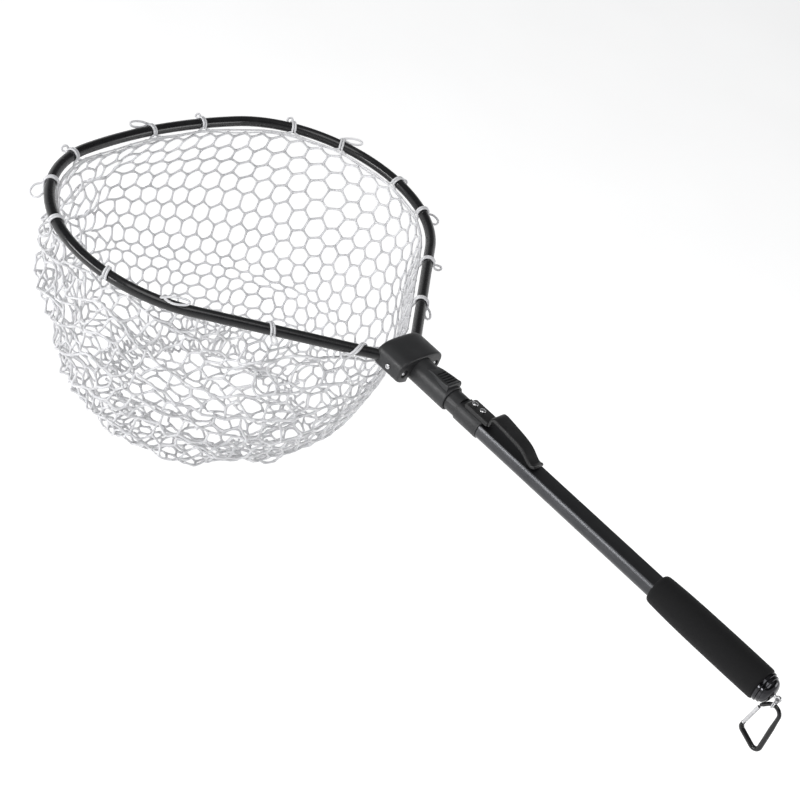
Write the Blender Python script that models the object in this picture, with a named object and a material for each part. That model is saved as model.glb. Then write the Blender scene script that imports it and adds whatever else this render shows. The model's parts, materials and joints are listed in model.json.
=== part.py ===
"""A folding landing net: a handle with a grip, a latch sleeve and a belt clip, a head that folds
on a cross pin, and a knotless net bag looped onto the hoop.

The handle lies along +X towards the hoop, the hoop lies in the XY plane and +Z is the side with
the clip and the thumb pad. The origin is on the handle's axis at the middle of the grip."""

import math

import bmesh
import bpy
from mathutils import Matrix, Vector

MM = 0.001
GAP = 0.3 * MM  # between pieces that touch on the real net

# Handle
TUBE_R = 11.0 * MM
TUBE_FLAT_Z = 6.3 * MM  # the tube is D-shaped, with its flat on top
TUBE_WALL = 1.2 * MM
TUBE_FRONT_X = 300.0 * MM
TUBE_REAR_X = -57.0 * MM

# Grip: (distance from the middle, outer radius), front to rear
GRIP_STATIONS = (
    (61.4, 12.6), (60.6, 13.9), (57.5, 14.7), (46.0, 15.4), (30.0, 15.9),
    (6.0, 16.2), (-30.0, 16.2), (-57.0, 15.9), (-60.2, 15.3), (-61.0, 14.2),
)

# End cap
CAP_FLANGE_X = -61.3 * MM
CAP_FLANGE_R = 14.7 * MM
CAP_STEP_R = 13.6 * MM
CAP_DOME_R = 12.3 * MM
CAP_DOME_X = -69.2 * MM
CAP_TIP_X = -76.1 * MM
CAP_PLUG_X = -40.0 * MM
CAP_PLUG_R = 9.2 * MM
CAP_POCKET_R = 4.2 * MM
CAP_POCKET_X = -68.0 * MM

# Swivel, split ring and carabiner, which hang from the end cap
PIN_R = 1.5 * MM
EYE_X = -80.5 * MM
EYE_R = 3.1 * MM
EYE_THICK = 2.4 * MM
EYE_HOLE_R = 1.75 * MM
RING_R = 5.2 * MM
RING_WIRE_R = 0.62 * MM
RING_TURNS = 1.6
RING_PITCH = 1.4 * MM
RING_PLAY = 0.4 * MM  # between the ring's wire and the carabiner's rod
ROD_R = 1.9 * MM
# The carabiner's centre line, from the point that hangs in the ring: towards the gate, and up
CARABINER_TOP = (-1.6 * MM, -7.6 * MM)  # centre of the top arc
CARABINER_TOP_R = 7.6 * MM
CARABINER_HEEL = (-11.0 * MM, -52.0 * MM)  # where the spine and the slanted foot would meet
CARABINER_TOE = (13.2 * MM, -41.3 * MM)
CARABINER_FOOT_R = 5.0 * MM
GATE_PIVOT = (13.0 * MM, -35.4 * MM)
GATE_TIP = (9.4 * MM, -11.0 * MM)
GATE_R = 1.75 * MM

# Neck, sleeve and collar
NECK_R = 11.0 * MM
NECK_REAR_X = TUBE_FRONT_X + GAP
SPIGOT_R = 9.2 * MM
SPIGOT_REAR_X = 266.0 * MM
COLLAR_R = 12.2 * MM
COLLAR_X = (283.0 * MM, 312.4 * MM)
COLLAR_FLAT_Z = 8.9 * MM
SLEEVE_R = 13.2 * MM
SLEEVE_X = (326.0 * MM, 376.5 * MM)
PAD_X = (329.0 * MM, 359.0 * MM)
PAD_HALF_WIDTH = 10.0 * MM
PAD_FRONT_Z = 13.4 * MM
PAD_REAR_Z = 15.6 * MM
PAD_RIBS = 5
KEY_X = 350.0 * MM
KEY_R = 2.0 * MM
SLOT_X = (328.0 * MM, 352.6 * MM)
SLOT_FLOOR_Z = 6.9 * MM
SPRING_R = 1.6 * MM
SPRING_WIRE_R = 0.33 * MM
SPRING_TURNS = 7
SPRING_Z = 9.0 * MM

# Belt clip
CLIP_BASE_X = (277.3 * MM, 308.5 * MM)
CLIP_BASE_HALF_WIDTH = 8.0 * MM
CLIP_BASE_Z = (COLLAR_FLAT_Z + GAP, 13.3 * MM)
CLIP_SCREW_X = (291.5 * MM, 301.7 * MM)
CLIP_SCREW_R = 1.5 * MM
CLIP_SCREW_HEAD_R = 3.1 * MM
CLIP_FLEX_X = 277.0 * MM
CLIP_FLEX_Z = 11.25 * MM
# Middle line of the arm, rearward from the flex line: (back, up, half width)
CLIP_ARM = (
    (0.0, 0.0, 8.0), (1.6, 0.6, 8.3), (2.6, 3.4, 9.0), (3.4, 7.6, 9.4), (6.4, 9.7, 9.5),
    (22.0, 8.0, 9.0), (38.0, 5.7, 8.3), (48.0, 2.2, 7.9), (55.5, -1.6, 7.6), (58.5, -2.0, 7.4),
    (61.5, -0.4, 7.0),
)
CLIP_HALF_THICKNESS = 1.7 * MM

# Yoke and fold axis
FOLD_X = 386.0 * MM
YOKE_X = (-15.0 * MM, 19.0 * MM)  # from the fold axis
YOKE_HALF_WIDTH = 30.0 * MM
YOKE_TOP_Z = 15.6 * MM
YOKE_BOTTOM_Z = -13.0 * MM
YOKE_SQUARENESS = 3.2
ARCH_R = 13.7 * MM
HINGE_PIN_R = 2.5 * MM
HINGE_HEAD_R = 3.1 * MM
WASHER_R = 5.5 * MM
YOKE_SCREW_Y = 21.5 * MM
YOKE_SCREW_R = 1.4 * MM
YOKE_SCREW_HEAD_R = 2.7 * MM
RECESS_R = 4.6 * MM
RECESS_DEPTH = 2.4 * MM

# Hoop, in the XY plane: a shallow far arc, two side arcs and two straight legs
HOOP_TUBE_R = 5.5 * MM
HOOP_WALL = 1.0 * MM
HOOP_TIP_X = 771.0 * MM
HOOP_FAR_R = 585.0 * MM
HOOP_FAR_HALF_ANGLE = math.radians(10.0)
HOOP_SIDE_R = 140.0 * MM
HOOP_LEG_ANGLE = math.radians(51.0)  # between a leg and the handle's axis
HOOP_LEG_END_Y = 21.5 * MM
HOOP_CENTRE_X = 548.0 * MM  # the point that the loops' bearings are taken from

# Net: rim cord, loops and bag
CORD_R = 1.6 * MM
CORD_INSET = 10.5 * MM
CORD_Z = -3.5 * MM
CORD_YOKE_X = 411.0 * MM
CORD_YOKE_BEND = 13.0 * MM  # the cord leaves the legs this far in front of its place at the yoke
LOOP_BEARINGS = (-141, -111, -85, -72, -54, -41, -14, 3, 31, 45, 60, 79, 94, 126, 162)
LOOP_R = 0.8 * MM
BAG_DEPTH = 219.0 * MM
BAG_WALL = 1.0 * MM
BAG_TOP_Z = -(HOOP_TUBE_R + 2 * LOOP_R + 3 * GAP)  # clear of the loops
BAG_CENTRE_X = 588.0 * MM
BAG_HALF_LENGTH = 172.0 * MM  # of the oval that the lower part rounds into
BAG_HALF_WIDTH = 192.0 * MM
BAG_ROUND_SHARE = 0.6  # the share of the depth where it has become that oval
# Share of the depth, share of the rim's width and length there, shift towards the hoop's tip
BAG_STATIONS = (
    (0.0, 1.0, 0.0), (0.15, 1.015, 7.0), (0.3, 1.02, 13.0), (0.5, 0.985, 17.0), (0.7, 0.92, 19.0),
    (0.86, 0.81, 18.0), (0.96, 0.65, 17.0), (1.0, 0.44, 16.0),
)


def clear_scene():
    for thing in list(bpy.data.objects):
        bpy.data.objects.remove(thing, do_unlink=True)


def material(name, colour, roughness, metallic=0.0):
    made = bpy.data.materials.new(name)
    made.use_nodes = True
    shader = made.node_tree.nodes["Principled BSDF"]
    shader.inputs["Base Color"].default_value = (*colour, 1.0)
    shader.inputs["Roughness"].default_value = roughness
    shader.inputs["Metallic"].default_value = metallic
    return made


def empty(name, location, parent=None):
    made = bpy.data.objects.new(name, None)
    made.location = location
    made.parent = parent
    bpy.context.scene.collection.objects.link(made)
    return made


def body(name, points, faces, look, parent, location=(0, 0, 0), rotation=(0, 0, 0)):
    """One closed mesh object, with its faces turned outwards and its round sides shaded smooth."""
    mesh = bpy.data.meshes.new(name)
    mesh.from_pydata([tuple(p) for p in points], [], faces)
    shape = bmesh.new()
    shape.from_mesh(mesh)
    bmesh.ops.recalc_face_normals(shape, faces=shape.faces)
    shape.to_mesh(mesh)
    shape.free()
    mesh.shade_smooth()
    mesh.set_sharp_from_angle(angle=math.radians(35))
    if look:
        mesh.materials.append(look)
    made = bpy.data.objects.new(name, mesh)
    made.parent = parent
    made.location = location
    made.rotation_euler = rotation
    bpy.context.scene.collection.objects.link(made)
    return made


def cutter(name, shape, parent=None, location=(0, 0, 0), rotation=(0, 0, 0)):
    """A hidden helper solid for a Boolean; shape is its points and faces."""
    made = body(name, *shape, None, parent, location, rotation)
    made.hide_render = True
    made.display_type = "WIRE"
    return made


def combine(target, tool, operation):
    step = target.modifiers.new(tool.name, "BOOLEAN")
    step.operation = operation
    step.solver = "EXACT"
    step.object = tool


def ring_faces(rings, sides, closed):
    """Quads between neighbouring rings of points; closed joins the last ring to the first."""
    faces = []
    last = rings if closed else rings - 1
    for i in range(last):
        a, b = i * sides, (i + 1) % rings * sides
        for k in range(sides):
            m = (k + 1) % sides
            faces.append((a + k, a + m, b + m, b + k))
    return faces


def capped(rings, sides):
    first = tuple(range(sides))
    final = tuple(range((rings - 1) * sides, rings * sides))
    return ring_faces(rings, sides, False) + [first[::-1], final]


def turned(profile, sides=36, hollow=True):
    """A shape turned about X. profile lists (x, r) or (x, r, flat), where flat cuts the top off
    at that height. A hollow shape's profile is a closed outline; a solid one runs end to end."""
    points = []
    for x, r, *flat in profile:
        for k in range(sides):
            angle = 2 * math.pi * (k + 0.5) / sides
            z = r * math.sin(angle)
            points.append((x, r * math.cos(angle), min(z, flat[0]) if flat else z))
    if hollow:
        return points, ring_faces(len(profile), sides, True)
    return points, capped(len(profile), sides)


def rod(length, radius, sides=20):
    """A plain cylinder along X, centred."""
    return turned([(-length / 2, radius), (length / 2, radius)], sides, hollow=False)


def box(low, high):
    points = [(x, y, z) for x in (low[0], high[0]) for y in (low[1], high[1]) for z in (low[2], high[2])]
    return points, [(0, 1, 3, 2), (4, 6, 7, 5), (0, 4, 5, 1), (2, 3, 7, 6), (0, 2, 6, 4), (1, 5, 7, 3)]


def prism_y(outline, half_width):
    """An outline of (x, z) points, extruded along Y to both sides."""
    points = [(x, s * half_width, z) for s in (-1, 1) for x, z in outline]
    return points, capped(2, len(outline))


def arc(centre, radius, start, end, steps):
    """Points (a, b) along an arc; the angles are in radians."""
    turn = (end - start) / steps
    angles = [start + turn * i for i in range(steps + 1)]
    return [(centre[0] + radius * math.cos(a), centre[1] + radius * math.sin(a)) for a in angles]


def swept(path, radius, sides, closed=False, up=Vector((0, 0, 1))):
    """A round bar along a path of points; up is never parallel to the path."""
    points = []
    count = len(path)
    for i, here in enumerate(path):
        before = path[i - 1] if closed or i else here
        after = path[(i + 1) % count] if closed or i < count - 1 else here
        along = (after - before).normalized()
        side = up.cross(along).normalized()
        top = along.cross(side)
        for k in range(sides):
            angle = 2 * math.pi * k / sides
            points.append(here + radius * (math.cos(angle) * side + math.sin(angle) * top))
    return points, ring_faces(count, sides, True) if closed else capped(count, sides)


# ---------------------------------------------------------------- handle


def make_tube(look, parent):
    inner = TUBE_R - TUBE_WALL
    inner_flat = TUBE_FLAT_Z - TUBE_WALL
    profile = [
        (TUBE_REAR_X, TUBE_R, TUBE_FLAT_Z), (TUBE_FRONT_X, TUBE_R, TUBE_FLAT_Z),
        (TUBE_FRONT_X, inner, inner_flat), (TUBE_REAR_X, inner, inner_flat),
    ]
    body("handle_tube", *turned(profile, 72), look, parent)


def make_grip(look, parent):
    bore = TUBE_R + GAP
    outer = [(x * MM, r * MM) for x, r in GRIP_STATIONS]
    body("grip", *turned(outer + [(outer[-1][0], bore), (outer[0][0], bore)], 36), look, parent)


def make_end_cap(look, parent):
    plug_flat = TUBE_FLAT_Z - TUBE_WALL - GAP
    profile = [
        (CAP_PLUG_X, CAP_PLUG_R, plug_flat), (CAP_FLANGE_X, CAP_PLUG_R, plug_flat),
        (CAP_FLANGE_X, CAP_FLANGE_R), (CAP_FLANGE_X - 3.9 * MM, CAP_FLANGE_R),
        (CAP_FLANGE_X - 4.6 * MM, CAP_FLANGE_R - 0.6 * MM), (CAP_FLANGE_X - 4.8 * MM, CAP_STEP_R),
        (CAP_DOME_X + 0.6 * MM, CAP_STEP_R), (CAP_DOME_X, CAP_STEP_R - 0.6 * MM), (CAP_DOME_X, CAP_DOME_R),
    ]
    dome_depth = CAP_DOME_X - CAP_TIP_X
    for step in range(1, 7):
        angle = math.radians(78) * step / 6
        profile.append((CAP_DOME_X - dome_depth * math.sin(angle), CAP_DOME_R * math.cos(angle)))
    profile += [(CAP_TIP_X, PIN_R + GAP), (CAP_POCKET_X, PIN_R + GAP), (CAP_POCKET_X, CAP_POCKET_R)]
    profile += [(CAP_PLUG_X, CAP_POCKET_R)]
    body("end_cap", *turned(profile, 36), look, parent)


def make_collar(look, parent):
    rear, front = COLLAR_X
    bore = TUBE_R + GAP
    bore_flat = TUBE_FLAT_Z + GAP
    rear_part = [
        (rear, bore, bore_flat), (rear, COLLAR_R - 0.5 * MM, COLLAR_FLAT_Z - 0.5 * MM),
        (rear + 0.5 * MM, COLLAR_R, COLLAR_FLAT_Z), (front - 0.7 * MM, COLLAR_R, COLLAR_FLAT_Z),
        (front, COLLAR_R - 0.7 * MM, COLLAR_FLAT_Z - 0.5 * MM), (front, bore, bore_flat),
    ]
    collar = body("clip_collar", *turned(rear_part, 72), look, parent)
    for i, x in enumerate(CLIP_SCREW_X):
        hole = cutter(
            f"collar_screw_hole_{i + 1}", rod(8 * MM, CLIP_SCREW_R + GAP, 16), parent,
            (x, 0, COLLAR_FLAT_Z), (0, math.pi / 2, 0),
        )
        combine(collar, hole, "DIFFERENCE")


def make_neck(look, parent):
    """The neck that the sleeve slides on: a spigot in the tube, and a ball nose on the pin."""
    spigot_flat = TUBE_FLAT_Z - TUBE_WALL - GAP
    profile = [
        (SPIGOT_REAR_X, SPIGOT_R, spigot_flat), (NECK_REAR_X, SPIGOT_R, spigot_flat),
        (NECK_REAR_X, NECK_R, TUBE_FLAT_Z), (COLLAR_X[1], NECK_R, TUBE_FLAT_Z),
        (COLLAR_X[1] + GAP, NECK_R, NECK_R), (FOLD_X, NECK_R, NECK_R),
    ]
    nose = arc((FOLD_X, 0), NECK_R, math.radians(78), math.radians(6), 6)
    profile += [(x, r, NECK_R) for x, r in nose]
    neck = body("neck_core", *turned(profile, 36, hollow=False), look, parent)
    slot = box((SLOT_X[0], -KEY_R - 1.5 * GAP, SLOT_FLOOR_Z), (SLOT_X[1], KEY_R + 1.5 * GAP, 2 * NECK_R))
    combine(neck, cutter("neck_slot", slot, parent), "DIFFERENCE")
    hole = rod(4 * NECK_R, HINGE_PIN_R + GAP)
    combine(
        neck, cutter("neck_pin_hole", hole, parent, (FOLD_X, 0, 0), (0, 0, math.pi / 2)), "DIFFERENCE"
    )


def make_sleeve(look, parent):
    """The latch sleeve, with a ribbed thumb pad that rises towards its rear."""
    rear, front = SLEEVE_X
    profile = [(rear, SLEEVE_R - 0.6 * MM), (rear + 0.6 * MM, SLEEVE_R), (front - 0.8 * MM, SLEEVE_R)]
    profile += [(front, SLEEVE_R - 0.8 * MM)]
    sleeve = body("lock_sleeve", *turned(profile, 36, hollow=False), look, parent)
    combine(sleeve, cutter("thumb_pad", prism_y(pad_outline(), PAD_HALF_WIDTH), parent), "UNION")
    bore = rod(3 * (front - rear), NECK_R + GAP, 36)
    combine(sleeve, cutter("sleeve_bore", bore, parent, (rear, 0, 0)), "DIFFERENCE")
    socket = rod(10 * MM, KEY_R + GAP, 16)
    combine(
        sleeve,
        cutter("key_socket", socket, parent, (KEY_X, 0, 8.4 * MM), (0, math.pi / 2, 0)),
        "DIFFERENCE",
    )


def pad_outline():
    """The thumb pad from the side, with its cross ribs near the front."""
    rear, front = PAD_X
    root_z = 5 * MM
    slope = (PAD_REAR_Z - PAD_FRONT_Z) / (front - rear)
    rib_pitch = 3.6 * MM
    rib_rise = 0.7 * MM
    outline = [(rear, root_z), (rear, PAD_REAR_Z - 0.8 * MM), (rear + 1.0 * MM, PAD_REAR_Z)]
    first_rib = front - 4 * MM - PAD_RIBS * rib_pitch
    for i in range(PAD_RIBS):
        x = first_rib + i * rib_pitch
        z = PAD_REAR_Z - slope * (x - rear)
        outline += [(x, z), (x + 0.5 * MM, z + rib_rise), (x + 1.5 * MM, z + rib_rise), (x + 2.0 * MM, z)]
    outline += [(front - 2 * MM, PAD_FRONT_Z), (front, PAD_FRONT_Z - 2.5 * MM), (front, root_z)]
    return outline


def make_sleeve_key(look, parent):
    low, high = SLOT_FLOOR_Z + GAP, 13.0 * MM
    body(
        "sleeve_key", *rod(high - low, KEY_R, 16), look, parent,
        (KEY_X, 0, (low + high) / 2), (0, math.pi / 2, 0),
    )


def make_sleeve_spring(look, parent):
    start = SLOT_X[0] + SPRING_WIRE_R + GAP
    end = KEY_X - KEY_R - SPRING_WIRE_R - GAP
    steps = SPRING_TURNS * 8
    path = []
    for i in range(steps + 1):
        angle = 2 * math.pi * SPRING_TURNS * i / steps
        y, z = SPRING_R * math.cos(angle), SPRING_R * math.sin(angle)
        path.append(Vector((start + (end - start) * i / steps, y, SPRING_Z + z)))
    body("sleeve_spring", *swept(path, SPRING_WIRE_R, 5, up=Vector((1, 0, 0))), look, parent)


def make_clip_base(look, parent):
    rear, front = CLIP_BASE_X
    low, high = CLIP_BASE_Z
    outline = [(rear, low), (rear, high), (front - 2.4 * MM, high), (front, high - 1.8 * MM), (front, low)]
    base = body("belt_clip_base", *prism_y(outline, CLIP_BASE_HALF_WIDTH), look, parent)
    for i, x in enumerate(CLIP_SCREW_X):
        hole = cutter(
            f"clip_screw_hole_{i + 1}", rod(12 * MM, CLIP_SCREW_R + GAP, 16), parent,
            (x, 0, 11 * MM), (0, math.pi / 2, 0),
        )
        combine(base, hole, "DIFFERENCE")


def make_clip_screws(look, parent):
    """Pan-head screws: the local X axis points up, out of the head."""
    seat = CLIP_BASE_Z[1] + GAP
    for i, x in enumerate(CLIP_SCREW_X):
        profile = [
            (-6.4 * MM, CLIP_SCREW_R), (0, CLIP_SCREW_R), (0, CLIP_SCREW_HEAD_R),
            (0.8 * MM, CLIP_SCREW_HEAD_R), (1.5 * MM, 0.75 * CLIP_SCREW_HEAD_R),
            (1.8 * MM, 0.35 * CLIP_SCREW_HEAD_R),
        ]
        screw = body(
            f"clip_screw_{i + 1}", *turned(profile, 20, hollow=False), look, parent,
            (x, 0, seat), (0, -math.pi / 2, 0),
        )
        arm = 1.7 * MM
        for k, (a, b) in enumerate(((arm, 0.35 * MM), (0.35 * MM, arm))):
            slot = box((1.0 * MM, -a, -b), (3 * MM, a, b))
            tool = cutter(
                f"clip_screw_{i + 1}_cross_{k + 1}", slot, parent, (x, 0, seat), (0, -math.pi / 2, 0)
            )
            combine(screw, tool, "DIFFERENCE")


def make_clip_arm(look, parent):
    """A bent plate that narrows rearward; its points are taken square to its middle line."""
    middle = [Vector((-back * MM, 0, up * MM)) for back, up, _ in CLIP_ARM]
    points = []
    for i, here in enumerate(middle):
        along = middle[min(i + 1, len(middle) - 1)] - middle[max(i - 1, 0)]
        if i == 0:
            along = Vector((-1, 0, 0))
        normal = Vector((along.z, 0, -along.x)).normalized()
        half = Vector((0, CLIP_ARM[i][2] * MM, 0))
        rise = normal * CLIP_HALF_THICKNESS
        crown = normal * (CLIP_HALF_THICKNESS - 0.7 * MM)
        inset = Vector((0, 1.2 * MM, 0))
        points += [
            here - half - rise, here + half - rise, here + half + crown, here + half - inset + rise,
            here - half + inset + rise, here - half + crown,
        ]
    body("belt_clip_arm", points, capped(len(middle), 6), look, parent)


# ---------------------------------------------------------------- head


def yoke_section(x, scale):
    """A rounded, crowned section of the yoke across the handle."""
    points = []
    sides = 44
    power = 2 / YOKE_SQUARENESS
    for k in range(sides):
        angle = 2 * math.pi * (k + 0.5) / sides
        c, s = math.cos(angle), math.sin(angle)
        y = math.copysign(abs(c) ** power, c) * YOKE_HALF_WIDTH
        z = math.copysign(abs(s) ** power, s) * (YOKE_TOP_Z if s > 0 else -YOKE_BOTTOM_Z)
        points.append((x, y * (1 - 0.5 * (1 - scale)), z * scale))
    return points


def make_yoke(look, parent, legs):
    rear, front = YOKE_X
    stations = (
        (rear, 0.88), (rear + 0.7 * MM, 0.95), (rear + 2.2 * MM, 1.0), (front - 3.5 * MM, 1.0),
        (front - 1.2 * MM, 0.95), (front, 0.86),
    )
    points = [p for x, scale in stations for p in yoke_section(x, scale)]
    yoke = body("yoke", points, capped(len(stations), 44), look, parent)
    arch = arc((0, 0), ARCH_R, 0, math.pi, 20)
    outline = arch + [(-ARCH_R, 2 * YOKE_BOTTOM_Z), (ARCH_R, 2 * YOKE_BOTTOM_Z)]
    channel = [(x, y, z) for x in (2 * rear, 2 * front) for y, z in outline]
    combine(yoke, cutter("yoke_channel", (channel, capped(2, len(outline))), parent), "DIFFERENCE")
    hole = rod(3 * YOKE_HALF_WIDTH, HINGE_PIN_R + GAP)
    combine(yoke, cutter("yoke_pin_hole", hole, parent, (0, 0, 0), (0, 0, math.pi / 2)), "DIFFERENCE")
    for side, leg in legs.items():
        socket = swept([leg[0], leg[1]], HOOP_TUBE_R + GAP, 20)
        combine(yoke, cutter(f"leg_socket_{side}", socket, parent), "DIFFERENCE")
    for side, sign in (("left", 1), ("right", -1)):
        y = sign * YOKE_SCREW_Y
        recess = rod(4 * RECESS_DEPTH, RECESS_R, 20)
        place = (rear - RECESS_DEPTH, y, 0)
        combine(yoke, cutter(f"screw_recess_{side}", recess, parent, place), "DIFFERENCE")
        bore = rod(20 * MM, YOKE_SCREW_R + GAP, 12)
        combine(yoke, cutter(f"screw_bore_{side}", bore, parent, (rear, y, 0)), "DIFFERENCE")


def make_yoke_screws(look, parent):
    seat = YOKE_X[0] + RECESS_DEPTH - GAP
    for side, sign in (("left", 1), ("right", -1)):
        profile = [
            (seat - 1.7 * MM, 0.45 * YOKE_SCREW_HEAD_R), (seat - 1.2 * MM, 0.85 * YOKE_SCREW_HEAD_R),
            (seat - 0.6 * MM, YOKE_SCREW_HEAD_R), (seat, YOKE_SCREW_HEAD_R), (seat, YOKE_SCREW_R),
            (YOKE_X[0] + 9 * MM, YOKE_SCREW_R),
        ]
        body(
            f"yoke_screw_{side}", *turned(profile, 16, hollow=False), look, parent,
            (0, sign * YOKE_SCREW_Y, 0),
        )


def make_hinge_pin(look, parent):
    inside = YOKE_HALF_WIDTH + GAP
    head = 1.1 * MM
    profile = [
        (-inside - head, 0.7 * HINGE_HEAD_R), (-inside - 0.6 * head, HINGE_HEAD_R), (-inside, HINGE_HEAD_R),
        (-inside, HINGE_PIN_R), (inside, HINGE_PIN_R), (inside, HINGE_HEAD_R),
        (inside + 0.6 * head, HINGE_HEAD_R), (inside + head, 0.7 * HINGE_HEAD_R),
    ]
    body(
        "hinge_pin", *turned(profile, 20, hollow=False), look, parent, (0, 0, 0), (0, 0, math.pi / 2)
    )


def make_washers(look, parent):
    near = NECK_R + GAP
    far = math.sqrt(ARCH_R**2 - WASHER_R**2) - GAP
    bore = HINGE_PIN_R + GAP
    profile = [(near, bore), (near, WASHER_R), (far, WASHER_R), (far, bore)]
    for side, turn in (("left", math.pi / 2), ("right", -math.pi / 2)):
        body(f"pivot_washer_{side}", *turned(profile, 20), look, parent, (0, 0, 0), (0, 0, turn))


def hoop_half(inset=0.0, foot_x=None):
    """Half of the hoop's outline, from the far tip to the leg's end in the yoke or to foot_x,
    inset from the tube's centre. Returns (x, y) points from the fold axis; y is positive."""
    tip = HOOP_TIP_X - FOLD_X - inset
    far = arc((tip + inset - HOOP_FAR_R, 0), HOOP_FAR_R - inset, 0, HOOP_FAR_HALF_ANGLE, 4)
    centre_share = HOOP_FAR_R - HOOP_SIDE_R
    centre = (
        tip + inset - HOOP_FAR_R + centre_share * math.cos(HOOP_FAR_HALF_ANGLE),
        centre_share * math.sin(HOOP_FAR_HALF_ANGLE),
    )
    side_end = math.pi / 2 + HOOP_LEG_ANGLE
    sides = arc(centre, HOOP_SIDE_R - inset, HOOP_FAR_HALF_ANGLE, side_end, 22)
    x, y = sides[-1]
    length = (y - HOOP_LEG_END_Y) / math.sin(HOOP_LEG_ANGLE)
    if foot_x is not None:
        length = (x - foot_x) / math.cos(HOOP_LEG_ANGLE)
    leg = []
    for share in (0.33, 0.67, 1.0):
        back = length * share
        leg.append((x - back * math.cos(HOOP_LEG_ANGLE), y - back * math.sin(HOOP_LEG_ANGLE)))
    return far + sides[1:] + leg


def hoop_line(inset=0.0):
    """The whole open outline, from the right leg's end over the tip to the left leg's end."""
    half = hoop_half(inset)
    right = [Vector((x, -y, 0)) for x, y in half[::-1]]
    return right + [Vector((x, y, 0)) for x, y in half[1:]]


def make_hoop(look, parent):
    line = hoop_line()
    sides = 12
    outer, _ = swept(line, HOOP_TUBE_R, sides)
    inner, _ = swept(line, HOOP_TUBE_R - HOOP_WALL, sides)
    count = len(line)
    offset = count * sides
    faces = ring_faces(count, sides, False)
    faces += [tuple(offset + i for i in f[::-1]) for f in ring_faces(count, sides, False)]
    for start in (0, (count - 1) * sides):
        for k in range(sides):
            a, b = start + k, start + (k + 1) % sides
            faces.append((a, b, offset + b, offset + a))
    body("hoop_tube", outer + inner, faces, look, parent)


def rim_outline():
    """The closed outline of the rim cord: inside the hoop, and rounded in front of the yoke."""
    turn_x = CORD_YOKE_X - FOLD_X
    kept = hoop_half(CORD_INSET, turn_x + CORD_YOKE_BEND)
    leg_foot = kept[-1]
    corner = (turn_x + 2 * MM, leg_foot[1] * 0.4)
    bend = []
    for share in (0.3, 0.6, 0.85):
        a = (1 - share) ** 2
        b = 2 * share * (1 - share)
        c = share**2
        x = a * leg_foot[0] + b * corner[0] + c * turn_x
        bend.append((x, a * leg_foot[1] + b * corner[1]))
    left = kept + bend
    right = [(x, -y) for x, y in left[:0:-1]]
    return left + [(turn_x, 0.0)] + right


def make_rim_cord(look, parent):
    path = [Vector((x, y, CORD_Z)) for x, y in rim_outline()]
    body("net_rim_cord", *swept(path, CORD_R, 6, closed=True), look, parent)


def make_loops(look, parent):
    """One closed loop at each bearing, around the hoop tube and the rim cord together."""
    line = hoop_line()
    for number, bearing in enumerate(LOOP_BEARINGS, start=1):
        want = math.radians(bearing)
        ray = Vector((math.cos(want), math.sin(want), 0))
        centre = Vector((HOOP_CENTRE_X - FOLD_X, 0, 0))
        crossings = [p for p in zip(line, line[1:]) if crosses(p, centre, ray)]
        start, end = crossings[0]
        side_start, side_end = ray.cross(start - centre).z, ray.cross(end - centre).z
        on_hoop = start.lerp(end, side_start / (side_start - side_end))
        inward = Vector((0, 0, 1)).cross((end - start).normalized())
        around = HOOP_TUBE_R + LOOP_R + 2 * GAP
        below = CORD_R + LOOP_R + 2 * GAP
        tilt = math.atan2(CORD_Z, CORD_INSET)
        spread = math.acos((around - below) / math.hypot(CORD_Z, CORD_INSET))
        outline = arc((0, 0), around, tilt + spread, tilt - spread + 2 * math.pi, 7)
        outline += arc((CORD_INSET, CORD_Z), below, tilt - spread, tilt + spread, 4)
        path = [on_hoop + inward * a + Vector((0, 0, b)) for a, b in outline]
        up = (end - start).normalized()
        body(f"net_loop_{number:02d}", *swept(path, LOOP_R, 5, closed=True, up=up), look, parent)


def crosses(stretch, centre, ray):
    """Whether a ray from the centre crosses a stretch of the hoop's line."""
    start, end = stretch
    a, b = ray.cross(start - centre).z, ray.cross(end - centre).z
    return a < 0 <= b and ray.dot(start - centre) > 0


def bag_ring(outline, station, wall):
    """One ring of the bag's wall: the rim's outline at the top, which becomes an oval lower down."""
    share, scale, shift = station
    centre = Vector((BAG_CENTRE_X - FOLD_X, 0, 0))
    place = centre + Vector((shift * MM, 0, BAG_TOP_Z - BAG_DEPTH * share))
    rounding = min(1.0, share / BAG_ROUND_SHARE)
    rounding = rounding**2 * (3 - 2 * rounding)
    points = []
    for x, y in outline:
        spoke = Vector((x, y, 0)) - centre
        way = spoke.normalized()
        oval = way / math.hypot(way.x / BAG_HALF_LENGTH, way.y / BAG_HALF_WIDTH)
        spoke = spoke.lerp(oval, rounding) * scale
        points.append(place + spoke - way * wall)
    return points


def make_bag(look, parent):
    """A thin-walled bag, open at the top; it stands for the moulded mesh."""
    outline = rim_outline()[::2]
    sides = len(outline)
    rings = [bag_ring(outline, station, 0.0) for station in BAG_STATIONS]
    floor_share = 1.0 - BAG_WALL / BAG_DEPTH
    inside = [
        bag_ring(outline, (min(share, floor_share), scale, shift), 1.6 * BAG_WALL)
        for share, scale, shift in BAG_STATIONS[::-1]
    ]
    points = [p for ring in rings + inside for p in ring]
    count = len(rings) + len(inside)
    faces = ring_faces(count, sides, True)
    outer_floor = range((len(rings) - 1) * sides, len(rings) * sides)
    inner_floor = range(len(rings) * sides, (len(rings) + 1) * sides)
    joined = set(outer_floor) | set(inner_floor)
    faces = [f for f in faces if not set(f) <= joined]
    faces += [tuple(outer_floor), tuple(inner_floor)[::-1]]
    body("net_bag", points, faces, look, parent)


# ---------------------------------------------------------------- swivel, ring and carabiner


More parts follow.
